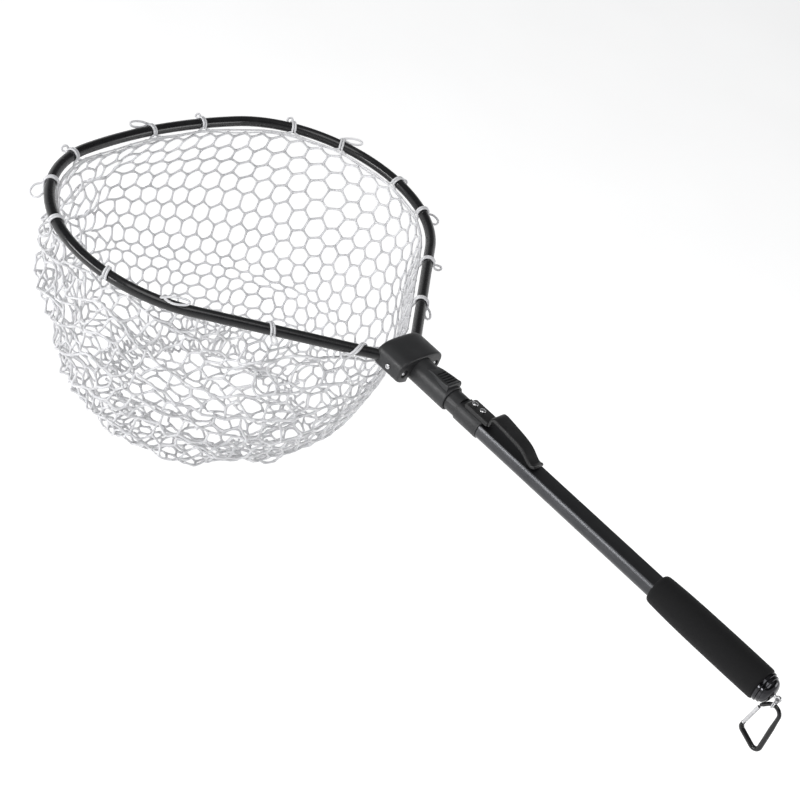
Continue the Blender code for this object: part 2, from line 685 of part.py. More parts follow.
def make_swivel_pin(look, parent):
    """The pin turns in the end cap; its origin is the eye, and its head is inside the cap."""
    head = CAP_POCKET_X + GAP - EYE_X
    profile = [
        (0.5 * MM, PIN_R), (head, PIN_R), (head, 3.4 * MM), (head + 1.6 * MM, 3.4 * MM),
        (head + 2.2 * MM, 2.6 * MM),
    ]
    pin = body("swivel_pin", *turned(profile, 16, hollow=False), look, parent)
    eye = rod(EYE_THICK, EYE_R, 20)
    combine(pin, cutter("eye_disc", eye, parent, (0, 0, 0), (0, 0, math.pi / 2)), "UNION")
    hole = rod(4 * EYE_THICK, EYE_HOLE_R, 16)
    combine(pin, cutter("eye_hole", hole, parent, (0, 0, 0), (0, 0, math.pi / 2)), "DIFFERENCE")


def make_split_ring(look, parent):
    """Wire coiled through the eye, hanging from it, with its ends beside each other."""
    steps = 44
    path = []
    for i in range(steps + 1):
        angle = math.pi / 2 + 2 * math.pi * RING_TURNS * (i / steps - 0.5) + math.pi
        x = RING_PITCH * RING_TURNS * (i / steps - 0.5)
        path.append(Vector((x, RING_R * math.cos(angle), -RING_R + RING_R * math.sin(angle))))
    body("split_ring", *swept(path, RING_WIRE_R, 6, up=Vector((1, 0, 0))), look, parent)


def fillet(before, corner, after, radius, steps):
    """Points of the arc that rounds off a corner between two straight stretches."""
    here = Vector(corner)
    one, two = (Vector(before) - here).normalized(), (Vector(after) - here).normalized()
    half = one.angle(two) / 2
    centre = here + (one + two).normalized() * radius / math.sin(half)
    start, end = here + one * radius / math.tan(half), here + two * radius / math.tan(half)
    points = []
    for i in range(steps + 1):
        spoke = (start - centre).lerp(end - centre, i / steps)
        points.append(tuple(centre + spoke.normalized() * radius))
    return points


def carabiner_path():
    """The body's centre line from the gate's pivot, round the foot, up the spine to the nose."""
    spine_top = (CARABINER_TOP[0] - CARABINER_TOP_R, CARABINER_TOP[1])
    path = [GATE_PIVOT]
    path += fillet(GATE_PIVOT, CARABINER_TOE, CARABINER_HEEL, CARABINER_FOOT_R, 5)
    path += fillet(CARABINER_TOE, CARABINER_HEEL, spine_top, CARABINER_FOOT_R, 8)
    path += arc(CARABINER_TOP, CARABINER_TOP_R, math.pi, math.radians(38), 9)
    path.append((GATE_TIP[0], GATE_TIP[1] + 1.2 * MM))
    return path


def make_carabiner(body_look, gate_look, pin_look, parent, gate_parent):
    line = [Vector((x, 0, z)) for x, z in carabiner_path()]
    frame = body("carabiner_body", *swept(line, ROD_R, 10, up=Vector((0, 1, 0))), body_look, parent)
    pivot_at = Vector((GATE_PIVOT[0], 0, GATE_PIVOT[1]))
    for sign, side in ((1, "left"), (-1, "right")):
        cheek = box((-4 * MM, 0.9 * MM, -1.9 * MM), (4 * MM, 4 * MM, 4 * MM))
        flip = (0, 0, 0) if sign > 0 else (0, 0, math.pi)
        tool = cutter(f"pivot_cheek_{side}", cheek, parent, pivot_at, flip)
        combine(frame, tool, "DIFFERENCE")
    bore = rod(8 * MM, 0.7 * MM, 12)
    hole = cutter("carabiner_pivot_hole", bore, parent, pivot_at, (0, 0, math.pi / 2))
    combine(frame, hole, "DIFFERENCE")
    reach = Vector((GATE_TIP[0], 0, GATE_TIP[1])) - pivot_at
    along = reach.normalized()
    start = along * -1.5 * MM
    end = along * (reach.length - 0.5 * MM)
    gate = body(
        "carabiner_gate", *swept([start, end], GATE_R, 12, up=Vector((0, 1, 0))), gate_look, gate_parent
    )
    fork = box((-4 * MM, -0.9 * MM - GAP, -4 * MM), (4 * MM, 0.9 * MM + GAP, 2.9 * MM))
    combine(gate, cutter("gate_fork_slot", fork, gate_parent), "DIFFERENCE")
    hole = cutter("gate_pivot_hole", bore, gate_parent, (0, 0, 0), (0, 0, math.pi / 2))
    combine(gate, hole, "DIFFERENCE")
    body(
        "gate_rivet", *rod(2 * GATE_R + 0.4 * MM, 0.4 * MM, 12), pin_look, parent,
        pivot_at, (0, 0, math.pi / 2),
    )


def main():
    clear_scene()
    anodised = material("anodised_dark", (0.045, 0.047, 0.05), 0.38, 0.8)
    hoop_black = material("hoop_black", (0.012, 0.012, 0.013), 0.22, 0.3)
    plastic = material("dark_plastic", (0.03, 0.031, 0.033), 0.48)
    clip_black = material("clip_black", (0.012, 0.012, 0.012), 0.4)
    foam = material("grip_foam", (0.011, 0.011, 0.012), 0.85)
    smoked = material("smoked_chrome", (0.09, 0.09, 0.095), 0.18, 1.0)
    bright = material("bright_steel", (0.72, 0.72, 0.73), 0.2, 1.0)
    gloss = material("gloss_black", (0.01, 0.01, 0.011), 0.12, 0.6)
    rubber = material("clear_rubber", (0.82, 0.83, 0.84), 0.35)

    handle = empty("handle_frame", (0, 0, 0))
    slide = empty("sleeve_slide", (0, 0, 0), handle)
    flex = empty("clip_flex_line", (CLIP_FLEX_X, 0, CLIP_FLEX_Z), handle)
    head = empty("fold_axis", (FOLD_X, 0, 0), handle)
    swivel = empty("swivel_axis", (EYE_X, 0, 0), handle)
    rod_top_z = -2 * RING_R + RING_WIRE_R + ROD_R + RING_PLAY
    link = empty("carabiner_axis", (0, 0, rod_top_z), swivel)
    gate_axis = empty("gate_axis", (GATE_PIVOT[0], 0, GATE_PIVOT[1]), link)

    make_tube(anodised, handle)
    make_grip(foam, handle)
    make_end_cap(smoked, handle)
    make_collar(plastic, handle)
    make_neck(plastic, handle)
    make_clip_base(clip_black, handle)
    make_clip_screws(bright, handle)
    make_sleeve_spring(bright, handle)
    make_sleeve(plastic, slide)
    make_sleeve_key(bright, slide)
    make_clip_arm(clip_black, flex)

    ends = hoop_half()
    legs = {}
    for side, sign in (("left", 1), ("right", -1)):
        outward = Vector((math.cos(HOOP_LEG_ANGLE), sign * math.sin(HOOP_LEG_ANGLE), 0))
        end = Vector((ends[-1][0], sign * ends[-1][1], 0))
        legs[side] = (end - outward * GAP, end + outward * 40 * MM)
    make_yoke(plastic, head, legs)
    make_yoke_screws(bright, head)
    make_hinge_pin(bright, head)
    make_washers(plastic, head)
    make_hoop(hoop_black, head)
    make_rim_cord(rubber, head)
    make_loops(rubber, head)
    make_bag(rubber, head)

    make_swivel_pin(bright, swivel)
    make_split_ring(bright, swivel)
    make_carabiner(gloss, bright, bright, link, gate_axis)


main()
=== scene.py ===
"""A folding landing net: the visible model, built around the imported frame.

+X runs along the handle to the hoop, +Z is the side of the belt clip, and the bag hangs along -Z."""
import json
import math

import bmesh
import bpy
import numpy as np
from mathutils import Matrix, Vector, noise


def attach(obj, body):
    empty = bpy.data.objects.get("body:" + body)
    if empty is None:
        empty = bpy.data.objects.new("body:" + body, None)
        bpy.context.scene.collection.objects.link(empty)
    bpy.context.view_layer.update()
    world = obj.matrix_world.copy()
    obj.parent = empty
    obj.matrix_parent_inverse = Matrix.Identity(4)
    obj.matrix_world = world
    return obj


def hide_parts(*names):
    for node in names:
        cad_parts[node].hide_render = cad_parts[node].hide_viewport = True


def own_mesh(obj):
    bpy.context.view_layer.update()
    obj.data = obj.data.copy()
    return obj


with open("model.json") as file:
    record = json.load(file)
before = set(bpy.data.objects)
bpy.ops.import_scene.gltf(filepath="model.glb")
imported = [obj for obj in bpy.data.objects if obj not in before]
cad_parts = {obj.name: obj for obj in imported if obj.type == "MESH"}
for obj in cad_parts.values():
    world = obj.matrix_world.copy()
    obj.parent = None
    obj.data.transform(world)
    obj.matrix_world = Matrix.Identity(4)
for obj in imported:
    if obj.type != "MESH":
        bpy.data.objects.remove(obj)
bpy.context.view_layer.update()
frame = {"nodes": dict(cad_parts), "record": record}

# All sizes are in millimetres unless a comment says metres
MM = 0.001
FOLD_X = 386.0
HOOP_R = 5.5
HOOP_TIP_X = 771.0
HOOP_FAR_R = 585.0
HOOP_FAR_HALF_ANGLE = math.radians(10.0)
HOOP_SIDE_R = 140.0
HOOP_LEG_ANGLE = math.radians(51.0)
HOOP_LEG_END_Y = 21.5
HOOP_CENTRE_X = 548.0

CORD_INSET = 8.6
CORD_Z = -3.5
CORD_YOKE_X = 411.0
CORD_YOKE_BEND = 13.0
CORD_R = 1.0
LOOP_BEARINGS = (-141, -111, -85, -72, -54, -41, -14, 3, 31, 45, 60, 79, 94, 126, 162)
# For each loop: its ear's reach along the tube, outwards and up, half the ear's width, how far the
# straps shift along the tube as they cross it, and the angle round the tube where the ear begins
LOOP_EARS = (
    (-20, 3, 1, 2.6, -3, 195), (-3, 8, 2, 2.2, 1, 190), (-15, 7, 0, 3.6, 2, 190), (1, 4, 4, 2.4, -3, 190),
    (-21, 1, 5, 2.8, 3, 130), (3, 3, 5, 2.8, 2, 170), (1, 2, 5, 2.2, -1, 165), (25, 1, 4, 3.0, 1, 140),
    (2, 4, 5, 3.0, -2, 175), (9, 7, -11, 5.5, 2, 200), (8, 7, -9, 5.0, -3, 200), (-2, 2, 3, 2.2, 5, 190),
    (24, -2, 4, 3.0, -6, 110), (4, 3, -4, 2.4, 6, 205), (-9, 3, -2, 2.4, -15, 200),
)
LOOP_STRAND_R = 1.2

BAG_DEPTH = 219.0
BAG_TOP_Z = -8.0
BAG_CENTRE_X = 588.0
BAG_HALF_LENGTH = 172.0
BAG_HALF_WIDTH = 192.0
BAG_ROUND_SHARE = 0.6
# Share of the depth, share of the rim's width and length there, shift towards the hoop's tip
BAG_STATIONS = np.array((
    (0.0, 1.0, 0.0), (0.15, 1.015, 7.0), (0.3, 1.02, 13.0), (0.5, 0.985, 17.0), (0.7, 0.92, 19.0),
    (0.86, 0.81, 18.0), (0.96, 0.65, 17.0), (1.0, 0.44, 16.0),
))
CELL = 22.0  # across a cell of the net
NET_ROWS = 18
STRAND_R = 1.3


# ---------------------------------------------------------------- materials


def surface(name, colour, roughness, metallic=0.0, **sockets):
    """A Principled material; sockets are further values, such as Coat_Weight=0.5."""
    look = bpy.data.materials.new(name)
    look.use_nodes = True
    shader = look.node_tree.nodes["Principled BSDF"]
    shader.inputs["Base Color"].default_value = (*colour, 1.0)
    shader.inputs["Roughness"].default_value = roughness
    shader.inputs["Metallic"].default_value = metallic
    for key, value in sockets.items():
        shader.inputs[key.replace("_", " ")].default_value = value
    return look


def coordinates(look, stretch=(1, 1, 1)):
    """The piece's own coordinates, in metres times stretch."""
    nodes, links = look.node_tree.nodes, look.node_tree.links
    where = nodes.new("ShaderNodeTexCoord")
    mapping = nodes.new("ShaderNodeMapping")
    mapping.inputs["Scale"].default_value = stretch
    links.new(where.outputs["Object"], mapping.inputs["Vector"])
    return mapping.outputs["Vector"]


def texture(look, kind, scale, stretch=(1, 1, 1), detail=3.0):
    """A noise or cell pattern's value."""
    nodes, links = look.node_tree.nodes, look.node_tree.links
    made = nodes.new({"noise": "ShaderNodeTexNoise", "cells": "ShaderNodeTexVoronoi"}[kind])
    made.inputs["Scale"].default_value = scale
    if kind == "noise":
        made.inputs["Detail"].default_value = detail
    links.new(coordinates(look, stretch), made.inputs["Vector"])
    return made.outputs["Fac" if kind == "noise" else "Distance"]


def spread(look, value, low, high):
    """Maps a texture's value onto low to high; a noise stays between about 0.3 and 0.7."""
    nodes, links = look.node_tree.nodes, look.node_tree.links
    made = nodes.new("ShaderNodeMapRange")
    made.inputs["From Min"].default_value = 0.3
    made.inputs["From Max"].default_value = 0.7
    made.inputs["To Min"].default_value = low
    made.inputs["To Max"].default_value = high
    links.new(value, made.inputs["Value"])
    return made.outputs["Result"]


def mixed(look, value, dark, light):
    """Colours the surface between two colours by a value from 0 to 1."""
    nodes, links = look.node_tree.nodes, look.node_tree.links
    made = nodes.new("ShaderNodeMix")
    made.data_type = "RGBA"
    made.inputs["A"].default_value = (*dark, 1.0)
    made.inputs["B"].default_value = (*light, 1.0)
    links.new(value, made.inputs["Factor"])
    links.new(made.outputs["Result"], nodes["Principled BSDF"].inputs["Base Color"])


def rough(look, value):
    look.node_tree.links.new(value, look.node_tree.nodes["Principled BSDF"].inputs["Roughness"])


def bumpy(look, layers):
    """Stacks bumps; each layer is (value, height in metres, strength)."""
    nodes, links = look.node_tree.nodes, look.node_tree.links
    below = None
    for value, height, strength in layers:
        made = nodes.new("ShaderNodeBump")
        made.inputs["Distance"].default_value = height
        made.inputs["Strength"].default_value = strength
        links.new(value, made.inputs["Height"])
        if below:
            links.new(below, made.inputs["Normal"])
        below = made.outputs["Normal"]
    links.new(below, nodes["Principled BSDF"].inputs["Normal"])


def anodised():
    """Drawn aluminium tube, dyed dark grey, with its fine die lines along X."""
    look = surface("anodised_dark", (0.048, 0.049, 0.052), 0.34, 0.9)
    lines = texture(look, "noise", 900, (0.01, 1, 1), 4)
    rough(look, spread(look, lines, 0.3, 0.37))
    mixed(look, spread(look, texture(look, "noise", 30), 0, 1), (0.048, 0.049, 0.052), (0.066, 0.067, 0.071))
    bumpy(look, [(lines, 0.00002, 0.06)])
    return look


def hoop_paint():
    """Black powder paint, semi-gloss, with a slight orange peel."""
    look = surface(
        "hoop_black", (0.006, 0.006, 0.007), 0.26, 0.0,
        Specular_IOR_Level=0.34, Coat_Weight=0.28, Coat_Roughness=0.06,
    )
    rough(look, spread(look, texture(look, "noise", 120), 0.24, 0.32))
    mixed(look, spread(look, texture(look, "noise", 60), 0, 1), (0.004, 0.004, 0.005), (0.008, 0.008, 0.009))
    bumpy(look, [(texture(look, "noise", 260, detail=1), 0.00001, 0.12)])
    return look


def moulded(name, dark, light, low, high, lines=0.0):
    """Moulded plastic with a fine spark-eroded grain, and lines along X where asked."""
    look = surface(name, dark, low, 0.0, Specular_IOR_Level=0.38)
    grain = texture(look, "noise", 2600, detail=2)
    rough(look, spread(look, texture(look, "noise", 160), low, high))
    mixed(look, spread(look, texture(look, "noise", 45), 0, 1), dark, light)
    layers = [(grain, 0.00004, 0.4)]
    if lines:
        layers.append((texture(look, "noise", 1500, (0.015, 1, 1), 2), 0.00006, lines))
    bumpy(look, layers)
    return look


def foam():
    """Closed-cell EVA foam: matte, pitted, a little uneven in colour."""
    look = surface("grip_foam", (0.009, 0.009, 0.009), 0.86, 0.0, Specular_IOR_Level=0.22, Sheen_Weight=0.03)
    pits = texture(look, "cells", 1500)
    soft = texture(look, "noise", 420, detail=4)
    mixed(look, spread(look, soft, 0, 1), (0.0035, 0.0035, 0.004), (0.0085, 0.0085, 0.009))
    rough(look, spread(look, soft, 0.78, 0.95))
    bumpy(look, [(pits, 0.00012, 0.55), (soft, 0.0002, 0.35)])
    return look


def metal(name, dark, light, low, high):
    """Plated or polished metal with faint wear."""
    look = surface(name, dark, low, 1.0)
    worn = texture(look, "noise", 240, detail=5)
    rough(look, spread(look, worn, low, high))
    mixed(look, spread(look, worn, 0, 1), dark, light)
    bumpy(look, [(texture(look, "noise", 1600, (0.3, 1, 1), 3), 0.00001, 0.2)])
    return look


def gloss():
    """Polished black lacquer on the carabiner."""
    look = surface(
        "gloss_black", (0.004, 0.004, 0.0045), 0.13, 0.0,
        Specular_IOR_Level=0.3, Coat_Weight=0.2, Coat_Roughness=0.04,
    )
    rough(look, spread(look, texture(look, "noise", 200), 0.09, 0.17))
    shade = spread(look, texture(look, "noise", 90), 0, 1)
    mixed(look, shade, (0.003, 0.003, 0.0035), (0.006, 0.006, 0.0065))
    return look


def clear_rubber():
    """Clear moulded rubber with a milky cast."""
    look = surface(
        "clear_rubber", (0.75, 0.75, 0.77), 0.3, 0.0,
        Transmission_Weight=0.25, IOR=1.45, Subsurface_Weight=0.0, Coat_Weight=0.25, Coat_Roughness=0.2,
    )
    cloud = texture(look, "noise", 55, detail=3)
    mixed(look, spread(look, cloud, 0, 1), (0.66, 0.66, 0.68), (0.84, 0.84, 0.855))
    rough(look, spread(look, cloud, 0.24, 0.42))
    bumpy(look, [(texture(look, "noise", 700, detail=2), 0.00008, 0.3)])
    return look


LOOKS = {
    "anodised_dark": anodised(),
    "hoop_black": hoop_paint(),
    "dark_plastic": moulded("dark_plastic", (0.015, 0.0153, 0.0165), (0.023, 0.0233, 0.0245), 0.38, 0.5),
    "clip_black": moulded("clip_black", (0.007, 0.007, 0.0075), (0.012, 0.012, 0.0125), 0.36, 0.46, 0.8),
    "grip_foam": foam(),
    "smoked_chrome": metal("smoked_chrome", (0.034, 0.034, 0.037), (0.054, 0.054, 0.058), 0.07, 0.14),
    "bright_steel": metal("bright_steel", (0.44, 0.44, 0.45), (0.58, 0.58, 0.59), 0.2, 0.3),
    "gloss_black": gloss(),
    "clear_rubber": clear_rubber(),
}


# ---------------------------------------------------------------- shapes


def make_object(name, points, faces):
    """A new object from points in millimetres, with its faces turned outwards."""
    mesh = bpy.data.meshes.new(name)
    mesh.from_pydata([tuple(Vector(p) * MM) for p in points], [], faces)
    shape = bmesh.new()
    shape.from_mesh(mesh)
    bmesh.ops.recalc_face_normals(shape, faces=shape.faces)
    shape.to_mesh(mesh)
    shape.free()
    made = bpy.data.objects.new(name, mesh)
    bpy.context.scene.collection.objects.link(made)
    return made


def settle(made):
    """Applies a new object's modifiers to its mesh."""
    bpy.context.view_layer.update()
    graph = bpy.context.evaluated_depsgraph_get()
    mesh = bpy.data.meshes.new_from_object(made.evaluated_get(graph))
    made.modifiers.clear()
    made.data = mesh


def cut(made, tools):
    """Cuts shapes, given as (points, faces), out of an object."""
    helpers = []
    for i, tool in enumerate(tools):
        helper = make_object(f"tool_{i}", *tool)
        step = made.modifiers.new(f"cut_{i}", "BOOLEAN")
        step.operation, step.solver, step.object = "DIFFERENCE", "EXACT", helper
        helpers.append(helper)
    settle(made)
    for helper in helpers:
        bpy.data.objects.remove(helper, do_unlink=True)


def soften(made, width, segments=3, angle=35):
    """Rounds an object's sharp edges; the width is in millimetres."""
    step = made.modifiers.new("soften", "BEVEL")
    step.width, step.segments = width * MM, segments
    step.limit_method, step.angle_limit = "ANGLE", math.radians(angle)
    step.use_clamp_overlap = True
    settle(made)


def finish_piece(made, look, body, stands_for=(), sharp=38):
    """Shades a piece, gives it its look and body, and hides the CAD nodes it stands for."""
    made.data.shade_smooth()
    made.data.set_sharp_from_angle(angle=math.radians(sharp))
    made.data.materials.clear()
    made.data.materials.append(LOOKS[look])
    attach(made, body)
    if stands_for:
        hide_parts(*stands_for)
    return made


def piece(name, shape, look, body, stands_for=(), sharp=38):
    return finish_piece(make_object(name, *shape), look, body, stands_for, sharp)


def loft(rings, closed=False):
    """Skins rings of equally many points; an open loft gets end caps."""
    sides, count = len(rings[0]), len(rings)
    points = [p for ring in rings for p in ring]
    faces = []
    for i in range(count if closed else count - 1):
        a, b = i * sides, (i + 1) % count * sides
        faces += [(a + k, a + (k + 1) % sides, b + (k + 1) % sides, b + k) for k in range(sides)]
    if not closed:
        faces += [tuple(range(sides))[::-1], tuple(range((count - 1) * sides, count * sides))]
    return points, faces


def circle(x, r, sides):
    """A ring of points about X."""
    turn = 2 * math.pi / sides
    return [(x, r * math.cos(k * turn), r * math.sin(k * turn)) for k in range(sides)]


def lathe(profile, sides=96, hollow=False):
    """Turns (x, r) points about X; a hollow profile is a closed line."""
    return loft([circle(x, r, sides) for x, r in profile], hollow)


def placed(shape, matrix):
    points, faces = shape
    return [matrix @ Vector(p) for p in points], faces


def rod_between(start, end, radius, sides=48):
    """A cylinder between two points."""
    start, end = Vector(start), Vector(end)
    turn = (end - start).to_track_quat("X", "Z").to_matrix().to_4x4()
    rod = lathe([(0, radius), ((end - start).length, radius)], sides)
    return placed(rod, Matrix.Translation(start) @ turn)


def rounded_steps(x0, x1, r0, r1, steps=5, bulge=1):
    """(x, r) points of a quarter round between two corners; bulge 1 is convex."""
    points = []
    for i in range(steps + 1):
        t = math.pi / 2 * i / steps
        if bulge > 0:
            points.append((x0 + (x1 - x0) * math.sin(t), r1 + (r0 - r1) * math.cos(t)))
        else:
            points.append((x0 + (x1 - x0) * (1 - math.cos(t)), r0 + (r1 - r0) * math.sin(t)))
    return points


def arc(centre, radius, start, end, steps):
    """Points of an arc, from one angle to another."""
    turn = (end - start) / steps
    return [
        (centre[0] + radius * math.cos(start + turn * i), centre[1] + radius * math.sin(start + turn * i))
        for i in range(steps + 1)
    ]


def d_section(radius, flat, corner):
    """(y, z) points of a circle with its top cut off flat, and its two corners rounded."""
    cz = flat - corner
    cy = math.sqrt((radius - corner) ** 2 - cz**2)
    low = math.atan2(cz, cy)
    right = arc((cy, cz), corner, math.pi / 2, low, 6)
    under = arc((0, 0), radius, low, -math.pi - low, 56)[1:-1]
    left = [(-y, z) for y, z in right[::-1]]
    return right + under + left


def tube(path, radius, sides=16, closed=False, up=(0, 0, 1)):
    """A bar along a path. radius is a number or one per point."""
    up = Vector(up)
    path = [Vector(p) for p in path]
    count = len(path)
    rings = []
    for i, here in enumerate(path):
        before = path[i - 1] if closed or i else here
        after = path[(i + 1) % count] if closed or i < count - 1 else here
        along = (after - before).normalized()
        side = up.cross(along).normalized()
        top = along.cross(side)
        r = radius if isinstance(radius, (int, float)) else float(radius[i])
        turn = 2 * math.pi / sides
        rings.append([
            here + r * (math.cos(k * turn) * side + math.sin(k * turn) * top) for k in range(sides)
        ])
    return loft(rings, closed)


def smooth_path(points, steps):
    """A Catmull-Rom curve through the points."""
    points = [Vector(p) for p in points]
    count = len(points)
    made = []
    for i in range(count - 1):
        b, c = points[i], points[i + 1]
        a = points[i - 1] if i else b * 2 - c
        d = points[i + 2] if i < count - 2 else c * 2 - b
        for s in range(steps):
            t = s / steps
            made.append(0.5 * (2 * b + (c - a) * t + (2 * a - 5 * b + 4 * c - d) * t**2
                               + (3 * b - a - 3 * c + d) * t**3))
    made.append(points[-1])
    return made


# ---------------------------------------------------------------- handle


def make_handle():
    """The tube with its flat top, the foam grip, the turned end cap and the clip's collar."""
    section = d_section(11.0, 6.3, 0.9)
    rings = [[(x, y, z) for y, z in section] for x in np.linspace(-57, 300, 25)]
    piece("tube_skin", loft(rings), "anodised_dark", "handle", ["handle_tube"], 30)

    stations = [Vector((x, r, 0)) for x, r in (
        (61.4, 12.6), (60.9, 13.5), (59.6, 14.3), (57.0, 14.8), (46.0, 15.4), (30.0, 15.9), (6.0, 16.2),
        (-30.0, 16.25), (-56.0, 16.1), (-61.0, 15.9), (-62.3, 15.3), (-62.8, 14.3),
    )]
    outer = [(p.x, p.y) for p in smooth_path(stations, 6)]
    grip = lathe(outer + [(-62.8, 11.4), (61.4, 11.4)], 96, True)
    piece("grip_foam_sleeve", grip, "grip_foam", "handle", ["grip"])

    cap = [(-40.0, 9.0), (-63.0, 9.0), (-63.0, 14.3)] + rounded_steps(-63.05, -63.5, 14.3, 14.75, 4, -1)
    cap += [(-65.2, 14.75)] + rounded_steps(-65.2, -66.1, 14.75, 13.9, 5)
    cap += [(-66.2, 13.3)] + rounded_steps(-66.2, -66.6, 13.3, 13.6, 3, -1)
    cap += [(-68.4, 13.6)] + rounded_steps(-68.4, -69.1, 13.6, 12.9, 4) + [(-69.2, 12.1)]
    dome = [(-69.2 - 6.7 * math.sin(a), 12.3 * math.cos(a) ** 0.9) for a in np.linspace(0.0, 1.36, 16)]
    cap += dome + [(-76.1, 1.9), (-70.0, 1.9)]
    piece("end_cap_turned", lathe(cap, 96), "smoked_chrome", "handle", ["end_cap"], 30)

    rings = []
    for x, inset in ((283.0, 0.55), (283.25, 0.16), (283.8, 0.0), (311.5, 0.0), (312.1, 0.25), (312.4, 0.8)):
        rings.append([(x, y, z) for y, z in d_section(12.2 - inset, 8.9 - inset, 1.0)])
    piece("collar_band", loft(rings), "dark_plastic", "handle", ["clip_collar"])


def pad_height(x):
    """The thumb pad's top: it rises to a lip at its rear, and slopes off at its front."""
    rear, front = 329.0, 359.0
    top = 15.0 - 1.5 * (x - rear) / (front - rear) + 0.7 * math.exp(-((x - rear - 1.8) / 2.2) ** 2)
    if x > front - 9:
        top -= 1.7 * ((x - front + 9) / 9) ** 2
    if x < rear + 1.6:
        top -= 1.6 * (1 - (x - rear) / 1.6) ** 2
    return top


def make_sleeve():
    """The latch sleeve, and its thumb pad with five grooves."""
    profile = rounded_steps(376.5, 375.5, 12.3, 13.2, 5, -1)
    profile += [(374.0, 13.2), (328.0, 13.2)] + rounded_steps(326.9, 326.0, 13.2, 12.4, 5)
    profile += [(326.0, 11.6), (327.0, 11.25), (376.5, 11.25)]
    piece("sleeve_shell", lathe(profile, 112, True), "dark_plastic", "sleeve", ["lock_sleeve"])
    rings = []
    for x in np.arange(329.0, 359.01, 0.5):
        top, corner = pad_height(x), 1.6
        half = 9.9 - 2.9 * eased(x, 334, 359)
        side = arc((half - corner, top - corner), corner, 0, math.pi / 2, 7)
        ring = [(half - 0.6, 5.0)] + side + [(-y, z) for y, z in side[::-1]] + [(-half + 0.6, 5.0)]
        rings.append([(x, y, z) for y, z in ring])
    pad = make_object("thumb_pad", *loft(rings))
    grooves = []
    for i in range(5):
        x = 334.2 + 3.3 * i
        half = 7.4 - 2.2 * eased(x, 334, 359)
        top = pad_height(x)
        grooves.append(block((x - 0.85, -half, top - 1.7), (x + 0.85, half, top + 2)))
    cut(pad, grooves)
    soften(pad, 0.25, 2, 50)
    finish_piece(pad, "dark_plastic", "sleeve", (), 40)


def make_spring():
    """The sleeve's return spring, in the neck's slot behind the key."""
    turns, rear, front = 7, 328.63, 347.37
    path = []
    for i in range(turns * 28 + 1):
        share = i / (turns * 28)
        angle = 2 * math.pi * turns * share
        x = rear + (front - rear) * share
        path.append((x, 1.6 * math.cos(angle), 9.0 + 1.6 * math.sin(angle)))
    wire = tube(path, 0.33, 10, False, (1, 0, 0))
    spring = piece("return_spring", wire, "bright_steel", "handle", ["sleeve_spring"], 60)
    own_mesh(spring)


def make_clip():
    """The belt clip's plate and springy arm, and its two pan-head screws."""
    rings = []
    for x, drop, inset in (
        (277.3, 0.5, 0.5), (277.6, 0.12, 0.15), (278.4, 0, 0), (305.4, 0, 0), (306.6, 0.5, 0.2),
        (307.8, 1.5, 0.7), (308.5, 2.6, 1.6),
    ):
        half, top, corner = 8.0 - inset, 13.3 - drop, 0.8
        side = arc((half - corner, top - corner), corner, 0, math.pi / 2, 5)
        ring = [(half, 9.0)] + side + [(-y, z) for y, z in side[::-1]] + [(-half, 9.0)]
        rings.append([(x, y, z) for y, z in ring])
    piece("clip_plate", loft(rings), "clip_black", "handle", ["belt_clip_base"])

    line = (
        (0.6, 0.0, 8.0), (1.3, 1.2, 8.3), (1.8, 4.4, 8.8), (2.6, 8.0, 9.3), (5.4, 9.6, 9.5), (14.0, 9.0, 9.3),
        (22.0, 8.1, 9.0), (30.0, 7.2, 8.7), (37.0, 6.1, 8.3), (42.0, 4.9, 8.1), (46.5, 3.0, 7.9),
        (51.0, 0.4, 7.7), (55.0, -1.6, 7.6), (58.5, -2.0, 7.4), (61.5, -0.4, 7.0),
    )
    middle = smooth_path([(277.0 - back, half, 11.25 + rise) for back, rise, half in line], 5)
    rings = []
    for i, here in enumerate(middle):
        along = middle[min(i + 1, len(middle) - 1)] - middle[max(i - 1, 0)]
        along.y = 0
        across = Vector((along.z, 0, -along.x)).normalized()
        half = here.y * (0.93 if i in (0, len(middle) - 1) else 1.0)
        thick = 1.7 * (0.8 if i in (0, len(middle) - 1) else 1.0)
        ring = []
        for corner, (cy, cz) in enumerate(((1, 1), (-1, 1), (-1, -1), (1, -1))):
            radius = 1.5 if cz > 0 else 0.7
            for k in range(6):
                a = math.pi / 2 * (corner + k / 5)
                y = cy * (half - radius) + radius * math.cos(a)
                z = cz * (thick - radius) + radius * math.sin(a)
                ring.append(Vector((here.x, 0, here.z)) + across * z + Vector((0, y, 0)))
        rings.append(ring)
    piece("clip_spring_arm", loft(rings), "clip_black", "clip", ["belt_clip_arm"], 55)

    for number, x in enumerate((291.5, 301.7), start=1):
        head = [(-3.0, 1.5), (0.0, 1.5), (0.0, 2.9)] + rounded_steps(0.05, 0.35, 2.9, 3.1, 3, -1)
        head.append((0.6, 3.1))
        head += [(0.6 + 1.35 * math.sin(a), 3.1 * math.cos(a)) for a in np.linspace(0.08, 1.45, 12)]
        stand = Matrix.Translation((x, 0, 13.45)) @ Matrix.Rotation(-math.pi / 2, 4, "Y")
        screw = make_object(f"pan_screw_{number}", *placed(lathe(head, 64), stand))
        turn = 25 if number == 1 else 62
        cross = []
        for quarter in (0, 90):
            spin = Matrix.Translation((x, 0, 15.2)) @ Matrix.Rotation(math.radians(turn + quarter), 4, "Z")
            cross.append(placed(block((-1.75, -0.38, -0.9), (1.75, 0.38, 2)), spin))
        cut(screw, cross)
        finish_piece(screw, "bright_steel", "handle", [f"clip_screw_{number}"], 30)


